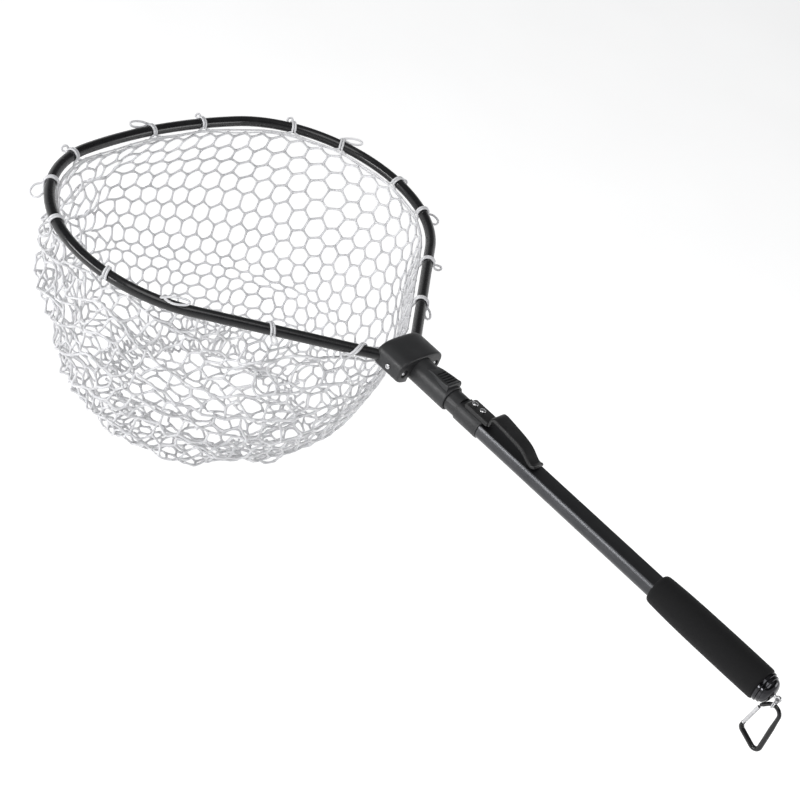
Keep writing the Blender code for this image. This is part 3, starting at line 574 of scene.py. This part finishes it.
def block(low, high):
    """A box between two corners."""
    points = [(x, y, z) for x in (low[0], high[0]) for y in (low[1], high[1]) for z in (low[2], high[2])]
    return points, [(0, 1, 3, 2), (4, 6, 7, 5), (0, 4, 5, 1), (2, 3, 7, 6), (0, 2, 6, 4), (1, 5, 7, 3)]


# ---------------------------------------------------------------- head


def yoke_ring(x, scale):
    """A rounded oblong section of the yoke, taller above the hoop's plane than below."""
    power, sides = 2 / 3.2, 120
    ring = []
    for k in range(sides):
        angle = 2 * math.pi * (k + 0.5) / sides
        c, s = math.cos(angle), math.sin(angle)
        y = math.copysign(abs(c) ** power, c) * 30.0 * (1 - 0.5 * (1 - scale))
        z = math.copysign(abs(s) ** power, s) * (15.6 if s > 0 else 13.0) * scale
        ring.append((FOLD_X + x, y, z))
    return ring


def make_yoke():
    """The yoke with its channel and bores, the hinge pin and the two screws behind."""
    rings = []
    for t in np.linspace(0, 1, 7):
        quarter = t * math.pi / 2
        rings.append(yoke_ring(-15 + 2.2 * (1 - math.cos(quarter)), 0.88 + 0.12 * math.sin(quarter)))
    for x in np.linspace(-10, 12, 8):
        rings.append(yoke_ring(x, 1.0))
    for t in np.linspace(0, 1, 8):
        quarter = t * math.pi / 2
        rings.append(yoke_ring(14.0 + 5.0 * math.sin(quarter), 0.86 + 0.14 * math.cos(quarter)))
    yoke = make_object("yoke_shell", *loft(rings))
    arch = arc((0, 0), 13.7, 0, math.pi, 48) + [(-13.7, -30), (13.7, -30)]
    tools = [loft([[(FOLD_X + x, y, z) for y, z in arch] for x in (-40, 40)])]
    leg = hoop_half()
    for sign in (1, -1):
        foot = Vector((leg[-1][0], sign * leg[-1][1], 0))
        way = Vector((math.cos(HOOP_LEG_ANGLE), sign * math.sin(HOOP_LEG_ANGLE), 0))
        tools.append(rod_between(foot - way * 0.3, foot + way * 40, HOOP_R + 0.35))
        tools.append(rod_between((FOLD_X - 25, sign * 21.5, 0), (FOLD_X - 12.6, sign * 21.5, 0), 4.6))
    cut(yoke, tools)
    soften(yoke, 0.55)
    finish_piece(yoke, "dark_plastic", "head", ["yoke"], 42)

    head = rounded_steps(30.35, 31.4, 2.75, 1.5, 6) + [(31.35, 1.2), (30.7, 1.1)]
    shank = [(-30.3, 2.75), (-30.2, 2.45), (30.2, 2.45), (30.3, 2.75)]
    whole = [(-x, r) for x, r in head[::-1]] + shank + head
    across = Matrix.Translation((FOLD_X, 0, 0)) @ Matrix.Rotation(math.pi / 2, 4, "Z")
    piece("hinge_pin_rod", placed(lathe(whole, 48), across), "bright_steel", "head", ["hinge_pin"], 30)

    for side, sign in (("left", 1), ("right", -1)):
        screw = [(0, 2.7), (0.6, 2.7)] + rounded_steps(0.6, 1.7, 2.7, 0.9, 6)
        seat = Matrix.Translation((FOLD_X - 12.9, sign * 21.5, 0)) @ Matrix.Rotation(math.pi, 4, "Z")
        made = make_object(f"yoke_pan_screw_{side}", *placed(lathe(screw, 48), seat))
        bars = [((-2, -1.5, -0.3), (1, 1.5, 0.3)), ((-2, -0.3, -1.5), (1, 0.3, 1.5))]
        drive = Matrix.Translation((FOLD_X - 14.9, sign * 21.5, 0))
        cut(made, [placed(block(*b), drive) for b in bars])
        finish_piece(made, "bright_steel", "head", [f"yoke_screw_{side}"], 30)


# ---------------------------------------------------------------- hoop and net


def hoop_half(inset=0.0, foot_x=None, fine=1):
    """Half of the hoop's line from the tip to the leg's end in the yoke, or to foot_x."""
    far = arc((HOOP_TIP_X - HOOP_FAR_R, 0), HOOP_FAR_R - inset, 0, HOOP_FAR_HALF_ANGLE, 6 * fine)
    share = HOOP_FAR_R - HOOP_SIDE_R
    centre = (
        HOOP_TIP_X - HOOP_FAR_R + share * math.cos(HOOP_FAR_HALF_ANGLE),
        share * math.sin(HOOP_FAR_HALF_ANGLE),
    )
    sides = arc(centre, HOOP_SIDE_R - inset, HOOP_FAR_HALF_ANGLE, math.pi / 2 + HOOP_LEG_ANGLE, 30 * fine)
    x, y = sides[-1]
    length = (y - HOOP_LEG_END_Y) / math.sin(HOOP_LEG_ANGLE)
    if foot_x is not None:
        length = (x - foot_x) / math.cos(HOOP_LEG_ANGLE)
    steps = 12 * fine
    leg = [
        (x - length * i / steps * math.cos(HOOP_LEG_ANGLE), y - length * i / steps * math.sin(HOOP_LEG_ANGLE))
        for i in range(1, steps + 1)
    ]
    return far + sides[1:] + leg


def rim_line(count):
    """The rim cord's closed line, as count points at equal distances from the far tip."""
    kept = hoop_half(CORD_INSET, CORD_YOKE_X + CORD_YOKE_BEND, 2)
    foot = kept[-1]
    corner = (CORD_YOKE_X + 2, foot[1] * 0.4)
    bend = []
    for share in np.linspace(0.1, 0.95, 8):
        a, b, c = (1 - share) ** 2, 2 * share * (1 - share), share**2
        bend.append((a * foot[0] + b * corner[0] + c * CORD_YOKE_X, a * foot[1] + b * corner[1]))
    left = kept + bend
    ring = np.array(left + [(CORD_YOKE_X, 0.0)] + [(x, -y) for x, y in left[:0:-1]])
    closed = np.vstack([ring, ring[:1]])
    along = np.concatenate([[0], np.cumsum(np.hypot(*np.diff(closed, axis=0).T))])
    want = np.linspace(0, along[-1], count, endpoint=False)
    return np.column_stack([np.interp(want, along, closed[:, k]) for k in (0, 1)]), along[-1]


RIM_COUNT = 816
RIM, RIM_LENGTH = rim_line(RIM_COUNT)


def eased(value, low, high):
    """0 at low and below, 1 at high and above, and smooth between."""
    t = min(1.0, max(0.0, (value - low) / (high - low)))
    return t * t * (3 - 2 * t)


def drift(point):
    """A smooth pseudo-random vector, the same for the same point."""
    return Vector([noise.noise(point + Vector((17.3 * k, 5.1 * k, 9.7 * k))) for k in range(3)])


def bag_point(turn, share):
    """A point of the bag's smooth form: turn is 0 to 1 round the rim, share 0 to 1 down the wall,
    and past 1 towards the middle of the floor, which is at 2."""
    at = turn % 1.0 * RIM_COUNT
    i = int(at)
    x, y = RIM[i % RIM_COUNT] * (1 - at + i) + RIM[(i + 1) % RIM_COUNT] * (at - i)
    wall = min(share, 1.0)
    scale = np.interp(wall, BAG_STATIONS[:, 0], BAG_STATIONS[:, 1])
    shift = np.interp(wall, BAG_STATIONS[:, 0], BAG_STATIONS[:, 2])
    if share > 1:
        scale *= 2 - share
    rounding = eased(wall, 0, BAG_ROUND_SHARE)
    dx, dy = x - BAG_CENTRE_X, y
    reach = math.hypot(dx, dy)
    oval = 1 / math.hypot(dx / reach / BAG_HALF_LENGTH, dy / reach / BAG_HALF_WIDTH)
    grown = (reach * (1 - rounding) + oval * rounding) / reach * scale
    drop = BAG_DEPTH * wall
    top = CORD_Z + (BAG_TOP_Z - CORD_Z) * eased(share, 0, 0.08)
    return Vector((BAG_CENTRE_X + shift + dx * grown, dy * grown, top - drop))


def crumple(point, share):
    """How far the slack mesh strays from the smooth form: the most on the +Y side and low down."""
    front = eased(point.y, -40, 80)
    low = eased(share, 0.6, 0.95)
    start = eased(share, 0.0, 0.12)
    loose = start * max(0.1, 0.8 * front, 0.85 * low)
    broad = drift(point * 0.011 + Vector((3, 7, 1)))
    fine = drift(point * 0.036 + Vector((11, 2, 5)))
    move = broad * (3.0 + 9.0 * loose) * start + fine * 9.0 * loose
    phase = point.z * 2 * math.pi / 34 + 5 * broad.x + 2.5 * math.sin(point.x * 0.03)
    outward = Vector((point.x - BAG_CENTRE_X, point.y, 0)).normalized()
    move += outward * (math.sin(phase) * 5.5 * loose * front - 1.5 * loose)
    move.z += 6.0 * loose * math.cos(phase)
    return move


def net_point(turn, share):
    """A point of the crumpled mesh, kept from sinking far below the bag's floor."""
    smooth = bag_point(turn, share)
    moved = smooth + crumple(smooth, share)
    low = BAG_TOP_Z - BAG_DEPTH - 3
    if moved.z < low:
        moved.z = low + 0.25 * (moved.z - low)
    return moved


def sagged(turn, share):
    """The rim hangs a little between two loops."""
    point = net_point(turn, share)
    point.z -= 2.2 * rim_sag(turn) * (1 - eased(share, 0, 0.5))
    return point


LOOP_TURNS = []


def rim_sag(turn):
    """0 at a loop, up to about 1 in the middle of a long stretch between two."""
    if not LOOP_TURNS:
        return 0.0
    gap = min(min(abs(turn - t), 1 - abs(turn - t)) for t in LOOP_TURNS)
    return min(1.0, (gap / 0.045) ** 1.3)


def strands(edges, radius):
    """Bars along short curved edges, a little thicker where they meet."""
    points, faces, sides = [], [], 8
    turn = 2 * math.pi / sides
    for path in edges:
        start = len(points)
        count = len(path)
        last_side = None
        for i, here in enumerate(path):
            along = (path[min(i + 1, count - 1)] - path[max(i - 1, 0)])
            if along.length < 1e-6:
                along = Vector((0, 0, 1))
            along.normalize()
            side = last_side if last_side else Vector((0.31, 0.42, 0.85)).cross(along)
            side = side - along * side.dot(along)
            side.normalize()
            last_side = side
            top = along.cross(side)
            end = abs(2 * i / (count - 1) - 1)
            r = radius * (0.94 + 0.42 * end**3)
            points += [
                here + r * (math.cos(k * turn) * side + math.sin(k * turn) * top) for k in range(sides)
            ]
        for i in range(count - 1):
            a, b = start + i * sides, start + (i + 1) * sides
            faces += [(a + k, a + (k + 1) % sides, b + (k + 1) % sides, b + k) for k in range(sides)]
        for ring, way in ((start, -1), (start + (count - 1) * sides, 1)):
            edge = points[ring:ring + sides]
            middle = sum(edge, Vector()) / sides
            out = (path[0] - path[1] if way < 0 else path[-1] - path[-2]).normalized() * radius * 0.7
            points.append(middle + out)
            tip = len(points) - 1
            faces += [(ring + k, ring + (k + 1) % sides, tip) for k in range(sides)]
    return points, faces


def make_net():
    """Hexagon cells in rows that run round the bag, and a flat grid of them for its floor."""
    around = int(round(RIM_LENGTH / CELL))
    rise = CELL / math.sqrt(3)
    shares = np.linspace(0, 1, 200)
    wall = [np.array(bag_point(0.25, s)) for s in shares]
    length = np.concatenate([[0], np.cumsum([np.linalg.norm(b - a) for a, b in zip(wall, wall[1:])])])
    full = (NET_ROWS * 1.5 + 0.85) * rise
    taut = 8.5 * 1.5 * rise  # the far wall hangs straight this far down

    def share_at(level, turn):
        """The slack gathers low on the -Y side, and all the way down on the +Y side."""
        at = level * rise
        front = eased(RIM[int(turn % 1 * RIM_COUNT) % RIM_COUNT][1], -60, 60)
        even = at * length[-1] / full
        hung = at if at < taut else taut + (at - taut) * (length[-1] - taut) / (full - taut)
        return float(np.interp(hung + (even - hung) * front, length, shares))

    def low(row, i):
        return (i + row) % 2 == 1

    def corner(row, i):
        level = row * 1.5 + 0.35 + (0.5 if low(row, i) else 0.0)
        wobble = drift(Vector((i * 0.73, row * 0.91, 4.0)))
        return (i + 0.14 * wobble.x) / (2 * around), level + 0.08 * wobble.y

    def path(a, b):
        made = []
        bow = noise.noise(Vector((a[0] * 60, a[1], b[1]))) * 0.9
        for t in np.linspace(0, 1, 5):
            turn = a[0] + (b[0] - a[0]) * t
            point = sagged(turn, share_at(a[1] + (b[1] - a[1]) * t, turn))
            point.z += bow * math.sin(math.pi * t)
            made.append(point)
        return made

    groups = {"net_wall_back": [], "net_wall_front": []}

    def keep(edge):
        groups["net_wall_front" if edge[2].y > 0 else "net_wall_back"].append(edge)

    for row in range(NET_ROWS + 1):
        for i in range(2 * around):
            here = corner(row, i)
            keep(path(here, corner(row, i + 1)))
            if low(row, i) and row < NET_ROWS:
                keep(path(here, corner(row + 1, i)))
            if row == 0 and not low(row, i):
                keep(path((here[0], 0.0), here))
    made = []
    for name, edges in groups.items():
        stands_for = ["net_bag"] if name == "net_wall_front" else []
        made.append(piece(name, strands(edges, STRAND_R), "clear_rubber", "head", stands_for, 60))

    # The floor: a flat grid, each corner placed by its own direction and distance from the middle
    floor = []
    half_x, half_y = BAG_HALF_LENGTH * 0.5, BAG_HALF_WIDTH * 0.5
    centre = Vector((BAG_CENTRE_X + 16, 0, BAG_TOP_Z - BAG_DEPTH + 2))

    def floor_point(x, y):
        reach = math.hypot(x / half_x, y / half_y)
        flat = Vector((centre.x + x, y, centre.z + 9 * reach**4))
        move = drift(flat * 0.02 + Vector((5, 5, 5))) * 9 + drift(flat * 0.05) * 6
        move.z = abs(move.z) * 1.6 - 1.5
        return flat + move

    step_x, step_y = CELL, CELL * math.sqrt(3) / 2
    for row in range(-8, 9):
        for col in range(-8, 9):
            cx, cy = (col + 0.5 * (row % 2)) * step_x, row * step_y
            if math.hypot(cx / half_x, cy / half_y) > 1.12:
                continue
            ends = [
                (cx + rise * math.cos(math.radians(a)), cy + rise * math.sin(math.radians(a)))
                for a in (30, 90, 150, 210)
            ]
            for a, b in zip(ends, ends[1:]):
                floor.append([
                    floor_point(a[0] + (b[0] - a[0]) * t, a[1] + (b[1] - a[1]) * t)
                    for t in np.linspace(0, 1, 5)
                ])
    made.append(piece("net_floor", strands(floor, STRAND_R), "clear_rubber", "head", [], 60))
    return made


def make_hoop():
    """The hoop's tube, from one socket of the yoke round to the other."""
    half = hoop_half(0.0, None, 3)
    line = [(x, -y, 0) for x, y in half[::-1]] + [(x, y, 0) for x, y in half[1:]]
    piece("hoop_bar", tube(line, HOOP_R, 40), "hoop_black", "head", ["hoop_tube"], 60)


def make_rim():
    """Two strands of cord side by side, the lower one hanging looser."""
    upper, lower = [], []
    for i in range(0, RIM_COUNT, 3):
        turn = i / RIM_COUNT
        point = sagged(turn, 0.0)
        upper.append(point)
        inward = Vector((BAG_CENTRE_X - point.x, -point.y, 0)).normalized()
        slack = 1.7 + 1.6 * rim_sag(turn) + 0.5 * math.sin(i * 0.11)
        lower.append(point + inward * 0.9 * math.sin(i * 0.045) - Vector((0, 0, slack)))
    upper, lower = tube(upper, CORD_R, 12, True), tube(lower, 0.8 * CORD_R, 10, True)
    return [
        piece("rim_strand_upper", upper, "clear_rubber", "head", ["net_rim_cord"], 60),
        piece("rim_strand_lower", lower, "clear_rubber", "head", (), 60),
    ]


def find_loops():
    """Each loop's place on the hoop: the point, the way along the tube, the way in, and its turn."""
    half = hoop_half(0.0, None, 3)
    line = [Vector((x, -y, 0)) for x, y in half[::-1]] + [Vector((x, y, 0)) for x, y in half[1:]]
    centre = Vector((HOOP_CENTRE_X, 0, 0))
    found = []
    for bearing in LOOP_BEARINGS:
        want = math.radians(bearing)

        def off(p):
            return abs((math.atan2(p.y, p.x - centre.x) - want + math.pi) % (2 * math.pi) - math.pi)

        best = min(line, key=off)
        i = line.index(best)
        along = (line[min(i + 1, len(line) - 1)] - line[max(i - 1, 0)]).normalized()
        inward = Vector((0, 0, 1)).cross(along)
        on_rim = best + inward * CORD_INSET
        nearest = int(np.argmin(np.hypot(RIM[:, 0] - on_rim.x, RIM[:, 1] - on_rim.y)))
        found.append((best, along, inward, nearest / RIM_COUNT))
    return found


def make_loops(places):
    """Each loop: two strands that rise from the rim, close up, cross over the tube and end in a
    loose ear on its outer side."""
    made = []
    up = Vector((0, 0, 1))
    for number, ((at, along, inward, _), ear) in enumerate(zip(places, LOOP_EARS), start=1):
        reach, out, high, width, lean, last = ear
        wrap = HOOP_R + LOOP_STRAND_R + 0.05

        def on_tube(degrees, shift):
            a = math.radians(degrees)
            return at + wrap * (inward * math.cos(a) + up * math.sin(a)) + along * shift

        def half(sign):
            foot = at + inward * (CORD_INSET - 0.4) + up * (CORD_Z - 0.2) + along * (sign * 7.5 - lean / 2)
            knee = at + inward * (CORD_INSET - 2.4) + up * (CORD_Z + 1.2) + along * (sign * 3.2 - lean / 2)
            path = [foot, knee]
            for share in np.linspace(0, 1, 7):
                gap = 1.3 + 0.25 * abs(2 * share - 1)
                path.append(on_tube(-8 + (last + 8) * share, sign * gap + lean * (share - 0.5)))
            return path

        base = on_tube(last + 8, lean * 0.5)
        away = math.radians(last)
        base += (inward * math.cos(away) + up * math.sin(away)) * 0.5
        tip = base - inward * out + along * reach + up * high
        way = (tip - base).normalized()
        swing = Vector((-0.4, 0.7, 0.6)).cross(way).normalized() * width
        if swing.dot(along) < 0:
            swing = -swing
        ear_points = [
            base + (tip - base) * 0.4 + swing, base + (tip - base) * 0.85 + swing * 0.85, tip,
            base + (tip - base) * 0.85 - swing * 0.85, base + (tip - base) * 0.4 - swing,
        ]
        line = smooth_path(half(1) + ear_points + half(-1)[::-1], 5)
        stands_for = [f"net_loop_{number:02d}"]
        shape = tube(line, LOOP_STRAND_R, 10, False, (0.13, 0.21, 0.97))
        made.append(piece(f"loop_strap_{number:02d}", shape, "clear_rubber", "head", stands_for, 60))
    return made


# ---------------------------------------------------------------- swivel, ring and carabiner

EYE_X = -80.5  # the swivel's eye
ROD_TOP_Z = -7.48  # the carabiner's rod where it hangs in the ring


def make_hardware():
    """The swivel, the split ring, and the carabiner with its pin and gate."""
    stem = placed(lathe([(2.2, 1.5), (12.0, 1.5), (12.0, 1.0)], 40), Matrix.Translation((EYE_X, 0, 0)))
    piece("swivel_stem", stem, "bright_steel", "swivel", ["swivel_pin"])
    ring = rounded_steps(-1.2, -0.8, 2.75, 3.1, 3, -1) + [(0.8, 3.1)]
    ring += rounded_steps(0.8, 1.2, 3.1, 2.75, 3)
    ring += [(1.2, 2.0), (0.9, 1.75), (-0.9, 1.75), (-1.2, 2.0)]
    turn = Matrix.Translation((EYE_X, 0, 0)) @ Matrix.Rotation(math.pi / 2, 4, "Z")
    piece("swivel_eye", placed(lathe(ring, 56, True), turn), "bright_steel", "swivel")

    steps, turns = 160, 1.6
    path = []
    for i in range(steps + 1):
        angle = math.pi * 1.5 + 2 * math.pi * turns * (i / steps - 0.5)
        x = EYE_X + 1.4 * turns * (i / steps - 0.5)
        path.append((x, 5.2 * math.cos(angle), -5.2 + 5.2 * math.sin(angle)))
    piece("key_ring", tube(path, 0.62, 14, False, (1, 0, 0)), "bright_steel", "ring", ["split_ring"], 50)

    corners = fillet((13.0, -35.4), (13.2, -41.3), (-11.0, -52.0), 5.0, 16)
    corners += fillet((13.2, -41.3), (-11.0, -52.0), (-9.2, -7.6), 5.0, 20)
    line = [(13.0, -34.2), (13.0, -35.4), (13.1, -36.6)] + corners
    spine = [(corners[-1][0] + (-9.2 - corners[-1][0]) * t, corners[-1][1] + (-7.6 - corners[-1][1]) * t)
             for t in np.linspace(0.1, 0.9, 9)]
    line += spine + arc((-1.6, -7.6), 7.6, math.pi, math.radians(38), 26)
    nose_end = (9.55, -9.6)
    line += [(line[-1][0] + (nose_end[0] - line[-1][0]) * t, line[-1][1] + (nose_end[1] - line[-1][1]) * t)
             for t in (0.33, 0.67, 1.0)]
    path = [(EYE_X + u, 0, ROD_TOP_Z + v) for u, v in line]
    radii = []
    for u, v in line:
        radii.append(1.9 + 0.5 * eased(-v, 9.0, 22.0) * eased(13.4 - u + max(0.0, -v - 38.0), 0.0, 3.0))
    radii[0], radii[-1] = 1.35, 1.45
    frame_bar = make_object("carabiner_frame", *tube(path, radii, 28, False, (0, 1, 0)))
    px, pz = EYE_X + 13.0, ROD_TOP_Z - 35.4
    cut(frame_bar, [block((px - 4, y0, pz - 1.9), (px + 4, y1, pz + 4)) for y0, y1 in ((0.9, 4), (-4, -0.9))])
    soften(frame_bar, 0.15, 2)
    finish_piece(frame_bar, "gloss_black", "carabiner", ["carabiner_body"], 40)
    pin = rod_between((px, -1.95, pz), (px, 1.95, pz), 0.62, 24)
    piece("gate_pivot_pin", pin, "bright_steel", "carabiner", ["gate_rivet"])

    start, end = Vector((px, 0, pz)), Vector((EYE_X + 9.4, 0, ROD_TOP_Z - 11.0))
    along = (end - start).normalized()
    length = (end - start).length
    reach = [(-1.5, 1.2), (-1.2, 1.6), (-0.8, 1.75)]
    reach += [(length - 1.3, 1.75), (length - 0.9, 1.6), (length - 0.7, 1.2)]
    path = [start + along * a for a, _ in reach]
    gate = make_object("gate_bar", *tube(path, [r for _, r in reach], 32, False, (0, 1, 0)))
    cut(gate, [block((px - 4, -1.15, pz - 4), (px + 4, 1.15, pz + 2.9))])
    finish_piece(gate, "bright_steel", "gate", ["carabiner_gate"], 40)


def fillet(before, corner, after, radius, steps):
    """Points of the arc that rounds off a corner between two straight stretches."""
    here = Vector(corner)
    one, two = (Vector(before) - here).normalized(), (Vector(after) - here).normalized()
    half = one.angle(two) / 2
    centre = here + (one + two).normalized() * radius / math.sin(half)
    start, end = here + one * radius / math.tan(half), here + two * radius / math.tan(half)
    made = []
    for i in range(steps + 1):
        spoke = (start - centre).slerp(end - centre, i / steps)
        made.append(tuple(centre + spoke.normalized() * radius))
    return made


# ---------------------------------------------------------------- the frame's own pieces


def dress_frame():
    """The CAD nodes that stay in view get their finish; the record says which."""
    slots = {s["node"]: s["material_slot"] for s in frame["record"]["subparts"]}
    for name, node in frame["nodes"].items():
        if node.hide_render:
            continue
        for i in range(len(node.material_slots)):
            node.material_slots[i].material = LOOKS[slots[name]]


# ---------------------------------------------------------------- stage


FLOOR_HALF_SIZE, FLOOR_Z = 9.0, -0.62  # metres
FLOOR_GLOW = 0.55
LIT_POINT = (0.35, 0, -0.03)  # metres
SKY = ((0.0, 0.86), (0.24, 0.8), (0.45, 0.07), (0.7, 0.12), (1.0, 0.42))  # (height, brightness)


def make_stage():
    """A white floor, three softboxes, and a sky bright at the horizon, dark higher and grey overhead."""
    floor = bpy.data.meshes.new("floor")
    size, z = FLOOR_HALF_SIZE, FLOOR_Z
    corners = [(-size, -size, z), (size, -size, z), (size, size, z), (-size, size, z)]
    floor.from_pydata(corners, [], [(0, 1, 2, 3)])
    look = surface("floor_white", (0.9, 0.9, 0.9), 0.9)
    shader = look.node_tree.nodes["Principled BSDF"]
    shader.inputs["Emission Color"].default_value = (1, 1, 1, 1)
    shader.inputs["Emission Strength"].default_value = FLOOR_GLOW
    shader.inputs["Specular IOR Level"].default_value = 0.0
    mottle = texture(look, "noise", 3)
    mixed(look, spread(look, mottle, 0, 1), (0.88, 0.88, 0.88), (0.92, 0.92, 0.92))
    floor.materials.append(look)
    made = bpy.data.objects.new("floor", floor)
    bpy.context.scene.collection.objects.link(made)

    bpy.context.scene.view_settings.view_transform = "Standard"
    world = bpy.data.worlds.new("studio")
    bpy.context.scene.world = world
    world.use_nodes = True
    background = world.node_tree.nodes["Background"]
    nodes, links = world.node_tree.nodes, world.node_tree.links
    where, split = nodes.new("ShaderNodeTexCoord"), nodes.new("ShaderNodeSeparateXYZ")
    ramp = nodes.new("ShaderNodeValToRGB")
    while len(ramp.color_ramp.elements) < len(SKY):
        ramp.color_ramp.elements.new(0.5)
    for element, (height, level) in zip(ramp.color_ramp.elements, SKY):
        element.position = height
        element.color = (level * 0.98, level * 0.99, level, 1.0)
    links.new(where.outputs["Generated"], split.inputs["Vector"])
    links.new(split.outputs["Z"], ramp.inputs["Fac"])
    links.new(ramp.outputs["Color"], background.inputs["Color"])

    def softbox(name, way, distance, size, power):
        light = bpy.data.lights.new(name, "AREA")
        light.shape, light.size, light.size_y, light.energy = "RECTANGLE", size[0], size[1], power
        box = bpy.data.objects.new(name, light)
        box.location = Vector(LIT_POINT) + Vector(way).normalized() * distance
        box.rotation_euler = (Vector(way)).to_track_quat("Z", "Y").to_euler()
        bpy.context.scene.collection.objects.link(box)

    softbox("side_key", (0.4, 0.89, 0.2), 2.4, (1.8, 0.34), 34)
    softbox("top_soft", (-0.2, 0.45, 1.0), 2.6, (1.8, 1.8), 30)
    softbox("back_fill", (-0.75, -0.7, 0.25), 2.6, (1.2, 0.8), 12)


CAMERA_AT = (-0.3552, 1.2777, 0.976)  # metres
CAMERA_AZIMUTH = math.radians(-150.2176)
CAMERA_ELEVATION = math.radians(34.7006)
CAMERA_ROLL = math.radians(25.092)
SENSOR_WIDTH, FOCAL_LENGTH = 36.0, 84.22


def make_camera():
    """The photo's view, solved from the hoop and the handle."""
    azimuth, elevation, roll = CAMERA_AZIMUTH, CAMERA_ELEVATION, CAMERA_ROLL
    back = Vector((
        math.sin(azimuth) * math.cos(elevation),
        -math.cos(azimuth) * math.cos(elevation),
        math.sin(elevation),
    ))
    level = Vector((math.cos(azimuth), math.sin(azimuth), 0))
    rise = back.cross(level)
    right = level * math.cos(roll) + rise * math.sin(roll)
    top = rise * math.cos(roll) - level * math.sin(roll)
    lens = bpy.data.cameras.new("camera")
    lens.sensor_fit, lens.sensor_width, lens.lens = "HORIZONTAL", SENSOR_WIDTH, FOCAL_LENGTH
    lens.clip_start, lens.clip_end = 0.05, 50
    made = bpy.data.objects.new("camera", lens)
    aim = Matrix((right, top, back)).transposed().to_4x4()
    made.matrix_world = Matrix.Translation(CAMERA_AT) @ aim
    bpy.context.scene.collection.objects.link(made)
    bpy.context.scene.camera = made


make_camera()
make_handle()
make_sleeve()
make_spring()
make_clip()
make_yoke()
make_hoop()
places = find_loops()
LOOP_TURNS.extend(p[3] for p in places)
soft = make_net() + make_rim() + make_loops(places)
for thing in soft:
    if not thing.name.startswith("loop"):
        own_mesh(thing)
make_hardware()
dress_frame()
make_stage()
